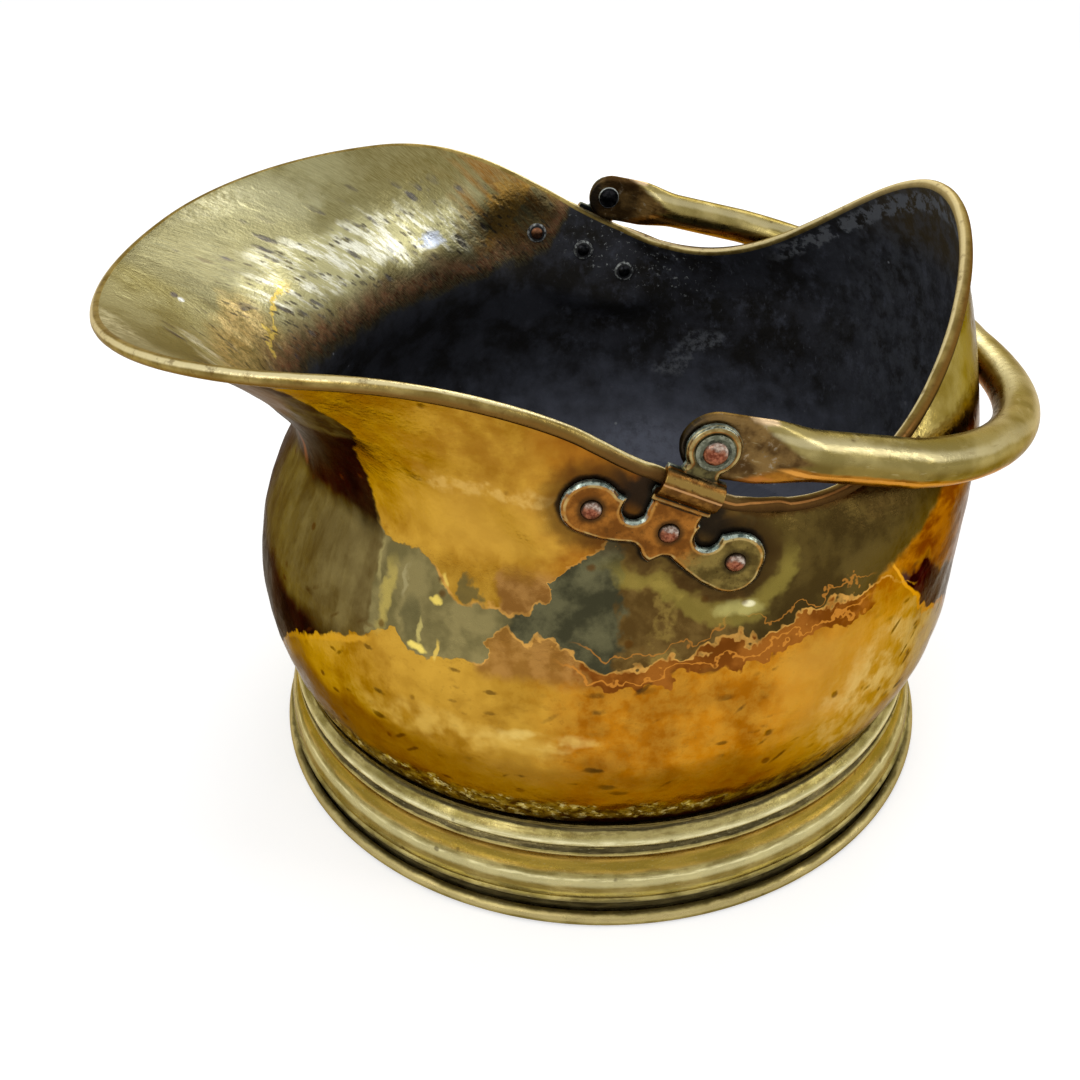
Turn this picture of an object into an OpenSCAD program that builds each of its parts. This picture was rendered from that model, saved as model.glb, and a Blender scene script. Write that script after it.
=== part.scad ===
// Helmet coal scuttle in sheet brass: a bowl with a poured spout, a spun foot and a swinging bail.
// +Z is up, the origin is the centre of the foot on the floor, -X is the spout and +X the back.
// The near side is -Y. The far side is its mirror image.

/* [Bowl] */
// Thickness of the brass sheet
sheet_t = 1.0; // [0.8:0.1:1.4]
// Radius of the flat base that stands on the foot
base_r = 148.5; // [144:0.5:151]
// Height of the widest part of the belly
belly_h = 95.5; // [85:0.5:110]
// Radius of the belly below the spout
belly_front_r = 159; // [155:0.5:164]
// Radius of the belly at the back
belly_back_r = 163.5; // [159:0.5:168]
// Height at which the waist is measured
waist_h = 175; // [165:1:185]
// How far the waist is drawn in below the spout
waist_front_in = 36; // [28:0.5:42]
// How far the waist is drawn in at the sides
waist_side_in = 20; // [15:0.5:24]
// Height at which the wall starts to bend to the rim
flare_h = 158.5; // [150:0.5:166]
// How late the wall bends to the rim
flare_power = 1.7; // [1.4:0.1:2.4]

/* [Rim] */
// Radius of the rim round the back
rim_back_r = 145; // [142:0.1:148]
// Distance from the origin to the tip of the spout
spout_reach = 196.5; // [180:0.5:210]
// Angle from the back at which the spout is at its full reach
spout_angle = 162.5; // [145:0.5:175]
// Angle from the back at which the rim starts to reach out to the spout
spout_from = 97; // [90:0.5:105]
// Height of the rim at the back
back_h = 246; // [230:1:260]
// Height of the lowest part of the rim
dip_h = 182.5; // [179:0.5:185]
// Angle from the back to the lowest part of the rim
dip_angle = 62; // [58:0.5:66]
// Height of the rim at the shoulder of the spout
shoulder_h = 242.5; // [236:0.5:250]
// Angle from the back to the shoulder of the spout
shoulder_angle = 124.5; // [118:0.5:130]
// Height of the spout's lip
lip_h = 233.5; // [228:0.5:246]
// Diameter of the iron wire in the rolled rim
rim_wire_d = 2.5; // [2.2:0.1:3.2]
// Gap between a wire and the sheet rolled round it
wire_gap = 0.25; // [0.2:0.05:0.3]

/* [Foot] */
// Height of the foot
foot_h = 47; // [45:0.5:50]
// Outer radius of the foot's rolled edge
foot_r = 162.5; // [158:0.5:168]
// Thickness of the foot's sheet
foot_t = 1.3; // [1.1:0.1:1.6]
// Diameter of the iron wire in the foot's rolled edge
foot_wire_d = 3.1; // [2.8:0.1:3.6]
// Inward lean of the foot from its rolled edge to its top
foot_lean = 9.2; // [7:0.1:11]
// Width of the ledge that the bowl stands on
ledge_w = 10; // [6:0.5:16]
// Depth that the rolled edge is worn flat by the hearth
worn_flat = 0.3; // [0.2:0.05:0.5]

/* [Bracket] */
// How far the wall under the bracket is drawn in from the round of the bowl
pad_in = 0.6; // [0.3:0.1:1]
// Gap that the wall's slight roundness leaves behind the bracket and under the roves
seat_gap = 0.35; // [0.25:0.05:0.5]
// Position of the middle rivet along the bowl
bracket_x = 8.75; // [5:0.25:12]
// Depth of the middle rivet below the rim straight above it
bracket_below = 19.6; // [18.5:0.1:21]
// Slope of the row of rivets, down towards the back
bracket_tilt = 25; // [23:0.5:27]
// Thickness of the cast bracket
bracket_t = 2.8; // [2.2:0.1:3.4]
// Height of the bracket's stepped edge
edge_step = 0.9; // [0.5:0.1:1.2]
// Distance from the middle rivet forward to the front one
front_pitch = 27.7; // [26:0.1:29]
// Distance from the middle rivet back to the back one
back_pitch = 26.4; // [25:0.1:28]
// Drop of the front rivet below the middle one, across the bracket
front_drop = 1; // [0:0.1:2]
// Drop of the back rivet below the middle one, across the bracket
back_drop = 2.4; // [1:0.1:3]
// Radius of the lobe round each end rivet
lobe_r = 10.1; // [8.5:0.1:11]
// Half width of the neck below the saddle
neck_half_w = 10.6; // [9:0.1:11.5]
// Distance from the wire of the rim up to the pivot
eye_above_rim = 15; // [14.2:0.1:17]
// Radius of the eye that holds the pivot
eye_r = 9.2; // [8:0.1:10]
// Thickness of the saddle that passes over the rolled rim
saddle_t = 2.4; // [1.8:0.1:3]
// Gap between the saddle and the rolled rim
saddle_gap = 0.8; // [0.7:0.1:1]

/* [Rivets] */
// Diameter of a rivet's shank
rivet_d = 4.4; // [3.6:0.1:5]
// Diameter of a rivet's head
rivet_head_d = 7.4; // [6.6:0.1:8.4]
// Height of a rivet's head
rivet_head_h = 1.9; // [1.4:0.1:2.4]
// Outer diameter of the rove inside the bowl
rove_d = 10.6; // [9:0.1:12]
// Thickness of the rove
rove_t = 1.2; // [0.8:0.1:1.5]
// Radial gap round a rivet's shank
rivet_gap = 0.05; // [0.03:0.01:0.08]

/* [Pivots] */
// Diameter of the pivot's shank
pivot_d = 6; // [5:0.1:7]
// Diameter of the pivot's head
pivot_head_d = 8.2; // [7.6:0.1:9.5]
// Radial running gap between the pivot and the bail
pivot_gap = 0.08; // [0.05:0.01:0.1]
// Outer diameter of the washer under the pivot's head
washer_d = 12.8; // [11.5:0.1:14]
// Thickness of the washer under the pivot's head
washer_t = 0.9; // [0.6:0.1:1.2]
// Thickness of the spacer between the eye and the bail
spacer_t = 1.5; // [1.3:0.1:2.2]
// Side play of the bail on its pivot
side_play = 0.15; // [0.1:0.05:0.25]

/* [Bail] */
// Diameter of the bail's tube
bail_d = 17.2; // [15:0.1:17.8]
// Wall of the bail's tube
bail_wall = 1.4; // [1:0.1:2]
// Gap between the bail and the back of the bowl when it lies at rest
bail_gap = 0.55; // [0.3:0.05:4]
// Angle of the bail below the level when it rests on the belly
bail_drop = 13.1; // [11:0.1:13.3]
// Thickness of the flattened end
flat_t = 3.8; // [3:0.1:4.2]
// Radius of the flattened end round the pivot
flat_r = 11.6; // [11:0.1:12.6]
// How far the pivot's hole lies above the middle line of the flat end
flat_sag = 0.5; // [0:0.1:1.5]
// Distance from the pivot to the middle of the rounded end
flat_shift = 1.5; // [0:0.1:2.5]
// Distance from the pivot to the end of the flat stretch
flat_run = 16; // [15:0.5:22]
// Distance from the pivot to where the tube is round
round_run = 38; // [36:0.5:46]
// Distance from the pivot to the start of the bow
arm_run = 73; // [66:1:78]
// How far each arm closes in from its flat end to the start of the bow
arm_in = 8.5; // [7.5:0.1:10]

/* [Hidden] */

BRASS = "#b8862f";
PALE_BRASS = "#b8a76a";
COPPER = "#a8644a";
IRON = "#4a4744";

// Facets of the bowl: steps round it, steps up its wall and steps round its rolled rim
ROUND_STEPS = 96;
WALL_STEPS = 15;
ROLL_STEPS = 8;
WIRE_SIDES = 8;
ROLL_SWEEP = 298;
FINE = 96;

// Rolled rim: the sheet goes round the wire
wire_r = rim_wire_d / 2;
roll_in_r = wire_r + wire_gap;
roll_out_r = roll_in_r + sheet_t;

// Two flattened patches of the wall, under the bracket's lobes and its neck:
// rise of the middle, half width, half height and fade, in the bracket's frame
LOBE_PATCH = [-6, 46, 22, 0.35];
NECK_PATCH = [18, 13, 12, 0.5];

// ---- small helpers ----

function unit(v) = v / norm(v);
function ease(t) = let (c = min(max(t, 0), 1)) c * c * (3 - 2 * c);
function mix(a, b, t) = a + (b - a) * t;
function half_turn(a) = a > 180 ? 360 - a : a;
function arc(cx, cy, r, from, to, steps) =
    [for (i = [0:steps]) let (a = mix(from, to, i / steps)) [cx + r * cos(a), cy + r * sin(a)]];

// ---- shape of the bowl; angles run from the back, 0, to the spout, 180 ----

function rim_r(a) =
    mix(rim_back_r, spout_reach, ease(pow(max(0, a - spout_from) / (spout_angle - spout_from), 0.77)));
function rim_h(a) =
    a < dip_angle ? mix(dip_h, back_h, (1 + cos(180 * a / dip_angle)) / 2)
    : a < shoulder_angle
        ? mix(shoulder_h, dip_h, (1 + cos(180 * (a - dip_angle) / (shoulder_angle - dip_angle))) / 2)
        : mix(lip_h, shoulder_h, (1 + cos(180 * (a - shoulder_angle) / (180 - shoulder_angle))) / 2);
function belly_r(a) = mix(belly_front_r, belly_back_r, ease((1 + cos(a)) / 2));
function waist_in(a) =
    waist_side_in * ease((a - 30) / 60) + (waist_front_in - waist_side_in) * ease((a - 90) / 70);
function bowl_r(a, z) =
    z < belly_h
        ? mix(base_r, belly_r(a), 1 - pow((belly_h - z) / (belly_h - foot_h), 2))
        : belly_r(a) - waist_in(a) * pow((z - belly_h) / (waist_h - belly_h), 2);
function wall_r(a, z) =
    let (top = rim_h(a), bend = max(0, (z - flare_h) / (top - flare_h)))
    bowl_r(a, z) + (rim_r(a) - bowl_r(a, top)) * pow(bend, flare_power);

// Middle rivet of the near bracket: below the rim, on a wall drawn in to pad_y
bracket_z = rim_h(acos(bracket_x / rim_back_r)) - bracket_below;
pad_a = acos(bracket_x / wall_r(90, bracket_z));
pad_y = wall_r(pad_a, bracket_z) * sin(pad_a) - pad_in;
seat_y = pad_y + seat_gap;
rove_top = -2 * seat_gap - sheet_t;

// 1 on the patches under the bracket, fading to 0 round them
function patch(x, z) =
    let (dx = x - bracket_x, dz = z - bracket_z,
         along = dx * cos(bracket_tilt) - dz * sin(bracket_tilt),
         up = dx * sin(bracket_tilt) + dz * cos(bracket_tilt))
    1 - outside(LOBE_PATCH, along, up) * outside(NECK_PATCH, along, up);
function outside(p, along, up) = ease((norm([along / p[1], (up - p[0]) / p[2]]) - 1) / p[3]);

// Outer face of the wall at angle a, at the share t of the height from the base to the rim
function wall(a, t) =
    let (f = half_turn((a + 360) % 360), z = mix(foot_h, rim_h(f), t), r = wall_r(f, z),
         x = r * cos(a), y = r * sin(a))
    [x, mix(y, sign(y) * pad_y, patch(x, z)), z];
function along_wall(a, t) = wall(a + 0.5, t) - wall(a - 0.5, t);
function up_wall(a, t) = wall(a, min(t + 0.005, 1)) - wall(a, max(t - 0.005, 0));
function wall_out(a, t) = unit(cross(along_wall(a, t), up_wall(a, t)));
function inner_wall(a, t) = wall(a, t) - sheet_t * wall_out(a, t);

// Middle of the wire in the rolled rim, and a point round it: 180 is on the wall, 90 is on top
function wire_mid(a) = wall(a, 1) + roll_in_r * wall_out(a, 1);
function roll(a, r, turn) =
    let (out = wall_out(a, 1), up = unit(cross(out, along_wall(a, 1))))
    wire_mid(a) + r * (cos(turn) * out + sin(turn) * up);

// ---- meshes made of rings ----

// Triangles between rings of n points each, ring after ring; the last ring joins the first if closed
function band_faces(rings, n, closed) =
    [for (i = [0:rings - (closed ? 1 : 2)], j = [0:n - 1])
        let (k = (i + 1) % rings, m = (j + 1) % n)
        each [[i * n + j, i * n + m, k * n + m], [i * n + j, k * n + m, k * n + j]]];

// One cut through the bowl at angle a, from the outer edge of the base round to the inner one
function bowl_cut(a) = concat(
    [for (j = [0:WALL_STEPS]) wall(a, j / WALL_STEPS)],
    [for (k = [1:ROLL_STEPS]) roll(a, roll_in_r, 180 - ROLL_SWEEP * k / ROLL_STEPS)],
    [for (k = [ROLL_STEPS:-1:0]) roll(a, roll_out_r, 180 - ROLL_SWEEP * k / ROLL_STEPS)],
    [for (j = [WALL_STEPS - 1:-1:1]) inner_wall(a, j / WALL_STEPS)],
    [[(base_r - 1.3 * sheet_t) * cos(a), (base_r - 1.3 * sheet_t) * sin(a), foot_h + sheet_t]]
);

module bowl_mesh() {
    cuts = [for (i = [0:ROUND_STEPS - 1]) bowl_cut(360 * i / ROUND_STEPS)];
    n = len(cuts[0]);
    last = ROUND_STEPS * n;
    points = concat([for (c = cuts) each c], [[0, 0, foot_h], [0, 0, foot_h + sheet_t]]);
    sides = [for (i = [0:ROUND_STEPS - 1], j = [0:n - 2])
        let (k = (i + 1) % ROUND_STEPS)
        each [[i * n + j, i * n + j + 1, k * n + j + 1], [i * n + j, k * n + j + 1, k * n + j]]];
    base = [for (i = [0:ROUND_STEPS - 1])
        let (k = (i + 1) % ROUND_STEPS)
        each [[last, i * n, k * n], [last + 1, k * n + n - 1, i * n + n - 1]]];
    polyhedron(points, concat(sides, base), convexity = 10);
}

// ---- places ----

// Middle of the rolled rim in the bracket's frame, where the neck crosses it
rim_cross = [for (a = [75:0.5:100]) let (p = wire_mid(a), dx = p.x - bracket_x, dz = p.z - bracket_z)
    [abs(dx * cos(bracket_tilt) - dz * sin(bracket_tilt)), dx * sin(bracket_tilt) + dz * cos(bracket_tilt)]];
rim_up = rim_cross[search(min([for (c = rim_cross) c[0]]), [for (c = rim_cross) c[0]])[0]][1];
eye_rise = rim_up + eye_above_rim;

// Local frame of the near bracket: X along the rivets to the back, Y up, Z out from the wall
module on_near_wall() {
    translate([bracket_x, -seat_y, bracket_z]) rotate([0, bracket_tilt, 0]) rotate([90, 0, 0]) children();
}
module on_far_wall() {
    mirror([0, 1, 0]) on_near_wall() children();
}
RIVETS = [[-front_pitch, -front_drop, 0], [0, 0, 0], [back_pitch, -back_drop, 0]];
module at_rivet(i) {
    translate(RIVETS[i + 1]) children();
}
module at_pivot() {
    translate([0, eye_rise, 0]) children();
}

// The pivot in the frame of the whole object
pivot_x = bracket_x + eye_rise * sin(bracket_tilt);
pivot_z = bracket_z + eye_rise * cos(bracket_tilt);

// ---- bowl ----

module body_shell() {
    color(BRASS) difference() {
        bowl_mesh();
        on_near_wall() rivet_holes();
        on_far_wall() rivet_holes();
    }
}
module rivet_holes() {
    for (i = [-1:1])
        at_rivet(i) translate([0, 0, -3 * sheet_t])
            cylinder(r = rivet_d / 2 + rivet_gap, h = 6 * sheet_t, $fn = FINE);
}

module rim_wire() {
    points = [for (i = [0:ROUND_STEPS - 1], j = [0:WIRE_SIDES - 1])
        roll(360 * i / ROUND_STEPS, wire_r, 360 * j / WIRE_SIDES)];
    color(IRON) polyhedron(points, band_faces(ROUND_STEPS, WIRE_SIDES, true), convexity = 6);
}

// ---- foot ----

foot_wire_r = foot_wire_d / 2;
foot_roll_in_r = foot_wire_r + wire_gap;
foot_roll_r = foot_roll_in_r + foot_t;
foot_roll_x = foot_r - foot_roll_r;
foot_roll_z = foot_roll_r - worn_flat;
foot_low_r = foot_roll_x - foot_roll_in_r;

// Radius of the foot's plain cone at height z, on which the mouldings stand
function foot_cone(z) = foot_low_r - foot_lean * (z - foot_roll_z) / (foot_h - foot_roll_z);

// Outer face of the mouldings, from the rolled edge up: hollow, lip, ovolo, cove, lip, torus, groove
foot_outer = concat(
    [[foot_low_r, foot_roll_z], [foot_low_r, 9.4], [foot_low_r + 0.5, 11], [foot_low_r + 1.9, 12.3]],
    [for (i = [0:8]) let (z = mix(13.2, 25, i / 8)) [foot_cone(z) + 2.1 + 1.6 * sin(20 + 160 * i / 8), z]],
    [for (i = [1:7]) let (z = mix(25, 33.4, i / 8)) [foot_cone(z) + 1.7 - 1.6 * sin(180 * i / 8), z]],
    [[foot_cone(33.4) + 2.3, 33.4], [foot_cone(34.8) + 2.3, 34.8], [foot_cone(36.2) + 0.9, 36.2]],
    [for (i = [1:8]) let (z = mix(36.2, 43.6, i / 9)) [foot_cone(z) + 0.9 + 2.4 * sin(180 * i / 9), z]],
    [[foot_cone(43.6) + 0.6, 43.6], [foot_cone(44.8) + 0.6, 44.8], [base_r + 1, foot_h - 1.4], [base_r + 1, foot_h]]
);

module foot_ring() {
    inner = [for (i = [len(foot_outer) - 2:-1:0]) foot_outer[i] - [foot_t * (i == 0 ? 1 : 1.35), 0]];
    ledge = [[base_r - ledge_w, foot_h], [base_r - ledge_w, foot_h - foot_t]];
    roll = concat(
        arc(foot_roll_x, foot_roll_z, foot_roll_r, 180, 360 + 118, 20),
        arc(foot_roll_x, foot_roll_z, foot_roll_in_r, 360 + 118, 180 + 18, 15)
    );
    color(PALE_BRASS) difference() {
        rotate_extrude($fn = FINE) polygon(concat(roll, foot_outer, ledge, inner));
        translate([0, 0, -foot_roll_r]) cylinder(r = foot_r + 5, h = foot_roll_r, $fn = FINE);
    }
}
module foot_wire() {
    color(IRON) rotate_extrude($fn = FINE)
        translate([foot_roll_x, foot_roll_z]) circle(r = foot_wire_r, $fn = 32);
}

// ---- brackets ----

rim_out = roll_in_r - seat_gap;

// Outline of the bracket, drawn in by d for the step round its edge
module bracket_outline(d) {
    f = RIVETS[0];
    b = RIVETS[2] + [0, 0.6, 0];
    low = b + [0.6, -3.8, 0];
    n = neck_half_w - d;
    difference() {
        union() {
            translate([f.x, f.y]) circle(r = lobe_r - d, $fn = FINE);
            translate([b.x, b.y]) circle(r = lobe_r - d, $fn = FINE);
            translate([low.x, low.y]) circle(r = lobe_r - d, $fn = FINE);
            polygon([
                [f.x + 2, 7 - d], [f.x + 2, f.y - lobe_r + d], [-20, -11 + d], [-15, -10 + d], [-12, -9.1 + d],
                [-9, -8.4 + d], [-6.2, -9.6 + d], [-3.8, -12.2 + d], [-1.2, -13.6 + 1.4 * d], [0.4, -11.4 + d],
                [2, -9.5 + d], [4.6, -8.9 + d], [7, -10 + d], [12.4, -12.3 + d], [19, -14.6 + d],
                [low.x - 2, low.y - lobe_r + 0.2 + d], [low.x - 1, b.y + 4], [low.x - 8, 5 - d]
            ]);
            polygon([
                [-10.2 + d, 0], [9.2 - d, 0], [8.2 - d, 6.5], [8.3 - d, 9.3], [n - 1.2, 12], [n - 1, rim_up],
                [6.6 - d, rim_up + 4], [6.2 - d, eye_rise - 7], [-6.6 + d, eye_rise - 7], [-7 + d, rim_up + 4],
                [1 - n, rim_up], [-n - 1.2, 12.4], [-n - 0.2, 9.8], [-10.2 + d, 7]
            ]);
            translate([0, eye_rise]) circle(r = eye_r - d, $fn = FINE);
        }
        translate([-14, 3.3]) circle(r = 4.2 + d, $fn = FINE);
        translate([-18.2 - d, 3.3]) square([8 + 2 * d, 6]);
        translate([13.6, 2.1]) circle(r = 4.3 + d, $fn = FINE);
        translate([9.3 - d, 2.1]) square([8.6 + 2 * d, 6]);
    }
}

module bracket() {
    channel_r = roll_out_r + saddle_gap;
    saddle_w = 2 * neck_half_w;
    difference() {
        union() {
            linear_extrude(bracket_t - edge_step) bracket_outline(0);
            translate([0, 0, bracket_t - edge_step]) linear_extrude(edge_step) bracket_outline(edge_step);
            intersection() {
                translate([-saddle_w / 2 - 1, rim_up, rim_out]) rotate([0, 90, 0])
                    cylinder(r = channel_r + saddle_t, h = saddle_w, $fn = FINE);
                translate([-saddle_w, 0, 0]) cube([2 * saddle_w, 2 * eye_rise, 2 * eye_rise]);
            }
            for (k = [0, 1])
                translate([-saddle_w / 2 - 1, rim_up - channel_r - 0.7 - 2.5 * k, bracket_t - 0.4])
                    rotate([0, 90, 0]) cylinder(r = 1, h = saddle_w, $fn = FINE);
        }
        translate([-2 * neck_half_w, rim_up, rim_out]) rotate([0, 90, 0])
            cylinder(r = channel_r, h = 4 * neck_half_w, $fn = FINE);
        for (i = [-1:1])
            at_rivet(i) translate([0, 0, -bracket_t])
                cylinder(r = rivet_d / 2 + rivet_gap, h = 4 * bracket_t, $fn = FINE);
        at_pivot() translate([0, 0, -bracket_t])
            cylinder(r = pivot_d / 2 + rivet_gap, h = 4 * bracket_t, $fn = FINE);
    }
}
module near_bracket() {
    color(BRASS) on_near_wall() bracket();
}
module far_bracket() {
    color(BRASS) on_far_wall() bracket();
}

// ---- rivets and roves ----

// Domed head of diameter d and height h, standing on z = 0
module dome(d, h) {
    ball = (d * d / 4 + h * h) / (2 * h);
    intersection() {
        translate([0, 0, h - ball]) sphere(r = ball, $fn = FINE);
        cylinder(r = d / 2, h = h, $fn = FINE);
    }
}
module rivet() {
    tail = rove_t - rove_top;
    color(COPPER) {
        translate([0, 0, -tail]) cylinder(r = rivet_d / 2, h = tail + bracket_t, $fn = FINE);
        translate([0, 0, bracket_t]) dome(rivet_head_d, rivet_head_h);
        translate([0, 0, -tail]) mirror([0, 0, 1]) dome(rivet_d * 1.45, 1.1);
    }
}
module rove() {
    color(COPPER) translate([0, 0, rove_top - rove_t]) difference() {
        cylinder(r = rove_d / 2, h = rove_t, $fn = FINE);
        translate([0, 0, -rove_t]) cylinder(r = rivet_d / 2 + rivet_gap, h = 3 * rove_t, $fn = FINE);
    }
}

// ---- pivots: outside in, a head, a washer, the eye, a spacer, the bail's flat end and a burr ----

// Outer face of the bail's flat ends, measured out from the wall
flat_out = -spacer_t - side_play;
burr_t = 1.2;
burr_d = 11;

module pivot_washer() {
    color(PALE_BRASS) at_pivot() translate([0, 0, bracket_t]) difference() {
        cylinder(r = washer_d / 2, h = washer_t, $fn = FINE);
        translate([0, 0, -washer_t]) cylinder(r = pivot_d / 2 + rivet_gap, h = 3 * washer_t, $fn = FINE);
    }
}
module pivot_spacer() {
    color(PALE_BRASS) at_pivot() translate([0, 0, -spacer_t]) difference() {
        cylinder(r = washer_d / 2, h = spacer_t, $fn = FINE);
        translate([0, 0, -spacer_t]) cylinder(r = pivot_d / 2 + rivet_gap, h = 3 * spacer_t, $fn = FINE);
    }
}
module pivot_rivet() {
    inner_face = flat_out - flat_t - side_play;
    color(COPPER) at_pivot() {
        translate([0, 0, inner_face]) cylinder(r = pivot_d / 2, h = bracket_t + washer_t - inner_face, $fn = FINE);
        translate([0, 0, bracket_t + washer_t]) dome(pivot_head_d, rivet_head_h);
        translate([0, 0, inner_face - burr_t]) cylinder(r = burr_d / 2, h = burr_t, $fn = FINE);
        translate([0, 0, inner_face - burr_t]) mirror([0, 0, 1]) dome(pivot_head_d, 1.2);
    }
}

// ---- bail ----

// Distance of the middle of the flat ends from the middle of the bowl, and of the arms at the bow
flat_mid_y = seat_y + flat_out - flat_t / 2;
arm_half_w = flat_mid_y - arm_in;

// Reach from the pivot to the middle of the tube at the back, where it lies against the wall;
// the wall leans, so the reach is found from the height of a first guess
function reach_from(r) =
    (wall_r(0, pivot_z - r * sin(bail_drop)) + bail_gap + bail_d / 2 - pivot_x) / cos(bail_drop);
bail_reach = reach_from(reach_from(reach_from(rim_back_r)));
arm_steps = 4;
bow_steps = 11;
TUBE_SIDES = 16;

// Middle of the tube on one side in the bail's own plane: [reach, half width], flat end first
function bow(t) =
    let (a = [arm_run, arm_half_w], b = [bail_reach * 0.78, arm_half_w * 0.883],
         c = [bail_reach * 1.039, arm_half_w * 0.52], d = [bail_reach, 0], s = 1 - t)
    s * s * s * a + 3 * s * s * t * b + 3 * s * t * t * c + t * t * t * d;
half_path = concat(
    [for (i = [0:4]) let (x = mix(flat_run - 6, round_run, i / 4)) [x, arm_y(x)]],
    [for (i = [1:arm_steps - 1]) let (x = mix(round_run, arm_run, i / arm_steps)) [x, arm_y(x)]],
    [for (i = [0:bow_steps]) bow(i / bow_steps)]
);
function arm_y(x) = mix(flat_mid_y, arm_half_w, max(0, (x - flat_run) / (arm_run - flat_run)));
bail_path = concat(half_path, [for (i = [len(half_path) - 2:-1:0]) [half_path[i][0], -half_path[i][1]]]);

// How round the tube is at a reach x along the arm: 0 where it is flat, 1 where it is round
function roundness(x) = ease((x - flat_run + 2) / (round_run - flat_run + 2));

// Ring of the tube at path point i, with the wall drawn in by d
function tube_ring(i, d) =
    let (p = bail_path[i], n = len(bail_path),
         way = unit(bail_path[min(i + 1, n - 1)] - bail_path[max(i - 1, 0)]),
         side = [way[1], -way[0]], g = roundness(p[0]),
         across = mix(flat_r - 0.6, bail_d / 2, g) - d, deep = mix(flat_t / 2 + 0.35, bail_d / 2, g) - d * mix(0.4, 1, g))
    [for (j = [0:TUBE_SIDES - 1])
        let (a = 360 * j / TUBE_SIDES, e = mix(0.55, 1, g),
             u = deep * sign(cos(a)) * pow(abs(cos(a)), e), v = across * sign(sin(a)) * pow(abs(sin(a)), e))
        [p[0] + u * side[0], p[1] + u * side[1], v - flat_sag]];

module tube_mesh(d, skip) {
    rings = [for (i = [skip:len(bail_path) - 1 - skip]) tube_ring(i, d)];
    n = len(rings);
    points = [for (r = rings) each r];
    ends = [[for (j = [0:TUBE_SIDES - 1]) TUBE_SIDES - 1 - j], [for (j = [0:TUBE_SIDES - 1]) (n - 1) * TUBE_SIDES + j]];
    polyhedron(points, concat(band_faces(n, TUBE_SIDES, false), ends), convexity = 10);
}

module bail() {
    color(PALE_BRASS) translate([pivot_x, 0, pivot_z]) rotate([0, bail_drop, 0]) difference() {
        union() {
            difference() {
                tube_mesh(0, 0);
                tube_mesh(bail_wall, 2);
            }
            for (s = [-1, 1])
                translate([0, s * flat_mid_y + flat_t / 2, 0]) rotate([90, 0, 0]) linear_extrude(flat_t) {
                    translate([flat_shift, -flat_sag]) circle(r = flat_r, $fn = FINE);
                    translate([flat_shift, -flat_sag - flat_r]) square([flat_run + 1 - flat_shift, 2 * flat_r]);
                }
        }
        for (s = [-1, 1])
            translate([0, s * flat_mid_y + 2 * flat_t, 0]) rotate([90, 0, 0])
                cylinder(r = pivot_d / 2 + pivot_gap, h = 4 * flat_t, $fn = FINE);
    }
}

// ---- nodes ----

body_shell();
rim_wire();
foot_ring();
foot_wire();
near_bracket();
far_bracket();
for (i = [-1:1]) {
    place = ["front", "middle", "back"][i + 1];
    on_near_wall() at_rivet(i) rivet();
    on_far_wall() at_rivet(i) rivet();
    on_near_wall() at_rivet(i) rove();
    on_far_wall() at_rivet(i) rove();
}
on_near_wall() pivot_washer();  // near_pivot_washer
on_far_wall() pivot_washer();  // far_pivot_washer
on_near_wall() pivot_spacer();  // near_pivot_spacer
on_far_wall() pivot_spacer();  // far_pivot_spacer
on_near_wall() pivot_rivet();  // near_pivot_rivet
on_far_wall() pivot_rivet();  // far_pivot_rivet
bail();
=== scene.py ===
"""Looks of the brass coal scuttle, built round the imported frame.

Sizes are in millimetres until a mesh is finished; MM turns them to metres. Angles round the bowl are in
degrees from the back, so the spout is at 180, the near side at -90 and the far side at 90.
"""

import math

import bpy
import numpy as np
from mathutils import Matrix, Vector
from mathutils.bvhtree import BVHTree


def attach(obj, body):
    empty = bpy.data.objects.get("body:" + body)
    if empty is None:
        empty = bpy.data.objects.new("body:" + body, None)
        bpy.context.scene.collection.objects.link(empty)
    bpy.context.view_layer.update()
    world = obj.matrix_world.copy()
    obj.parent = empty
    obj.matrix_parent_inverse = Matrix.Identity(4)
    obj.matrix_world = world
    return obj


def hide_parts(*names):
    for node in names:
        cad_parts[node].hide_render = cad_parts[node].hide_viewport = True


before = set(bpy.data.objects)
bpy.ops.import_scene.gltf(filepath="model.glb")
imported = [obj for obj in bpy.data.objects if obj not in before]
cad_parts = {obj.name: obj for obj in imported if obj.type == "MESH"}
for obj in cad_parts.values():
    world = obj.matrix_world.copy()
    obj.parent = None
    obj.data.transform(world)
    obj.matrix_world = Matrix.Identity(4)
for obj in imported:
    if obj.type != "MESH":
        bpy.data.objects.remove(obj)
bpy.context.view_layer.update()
MM = 0.001

# ---- driving sizes, the same as the part's ----
# R is a radius, D a width across, H a height, T a thickness, IN and OUT how far something stands off

SHEET = 1.0
BASE_R, FOOT_H = 148.5, 47.0
BELLY_H, BELLY_FRONT_R, BELLY_BACK_R = 95.5, 159.0, 163.5
WAIST_H, WAIST_FRONT_IN, WAIST_SIDE_IN = 175.0, 36.0, 20.0
WAIST_FROM, WAIST_SIDE, WAIST_FRONT = 30, 90, 160
FLARE_H, FLARE_POWER = 158.5, 1.7
RIM_BACK_R, SPOUT_REACH, SPOUT_ANGLE, SPOUT_FROM = 145.0, 196.5, 162.5, 97.0
SPOUT_EASE = 0.77
BACK_H, DIP_H, DIP_ANGLE = 246.0, 182.5, 62.0
SHOULDER_H, SHOULDER_ANGLE, LIP_H = 242.5, 124.5, 233.5
ROLL_R, ROLL_SWEEP = 1.5, 298
PAD_IN, SEAT_GAP = 0.6, 0.35
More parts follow.
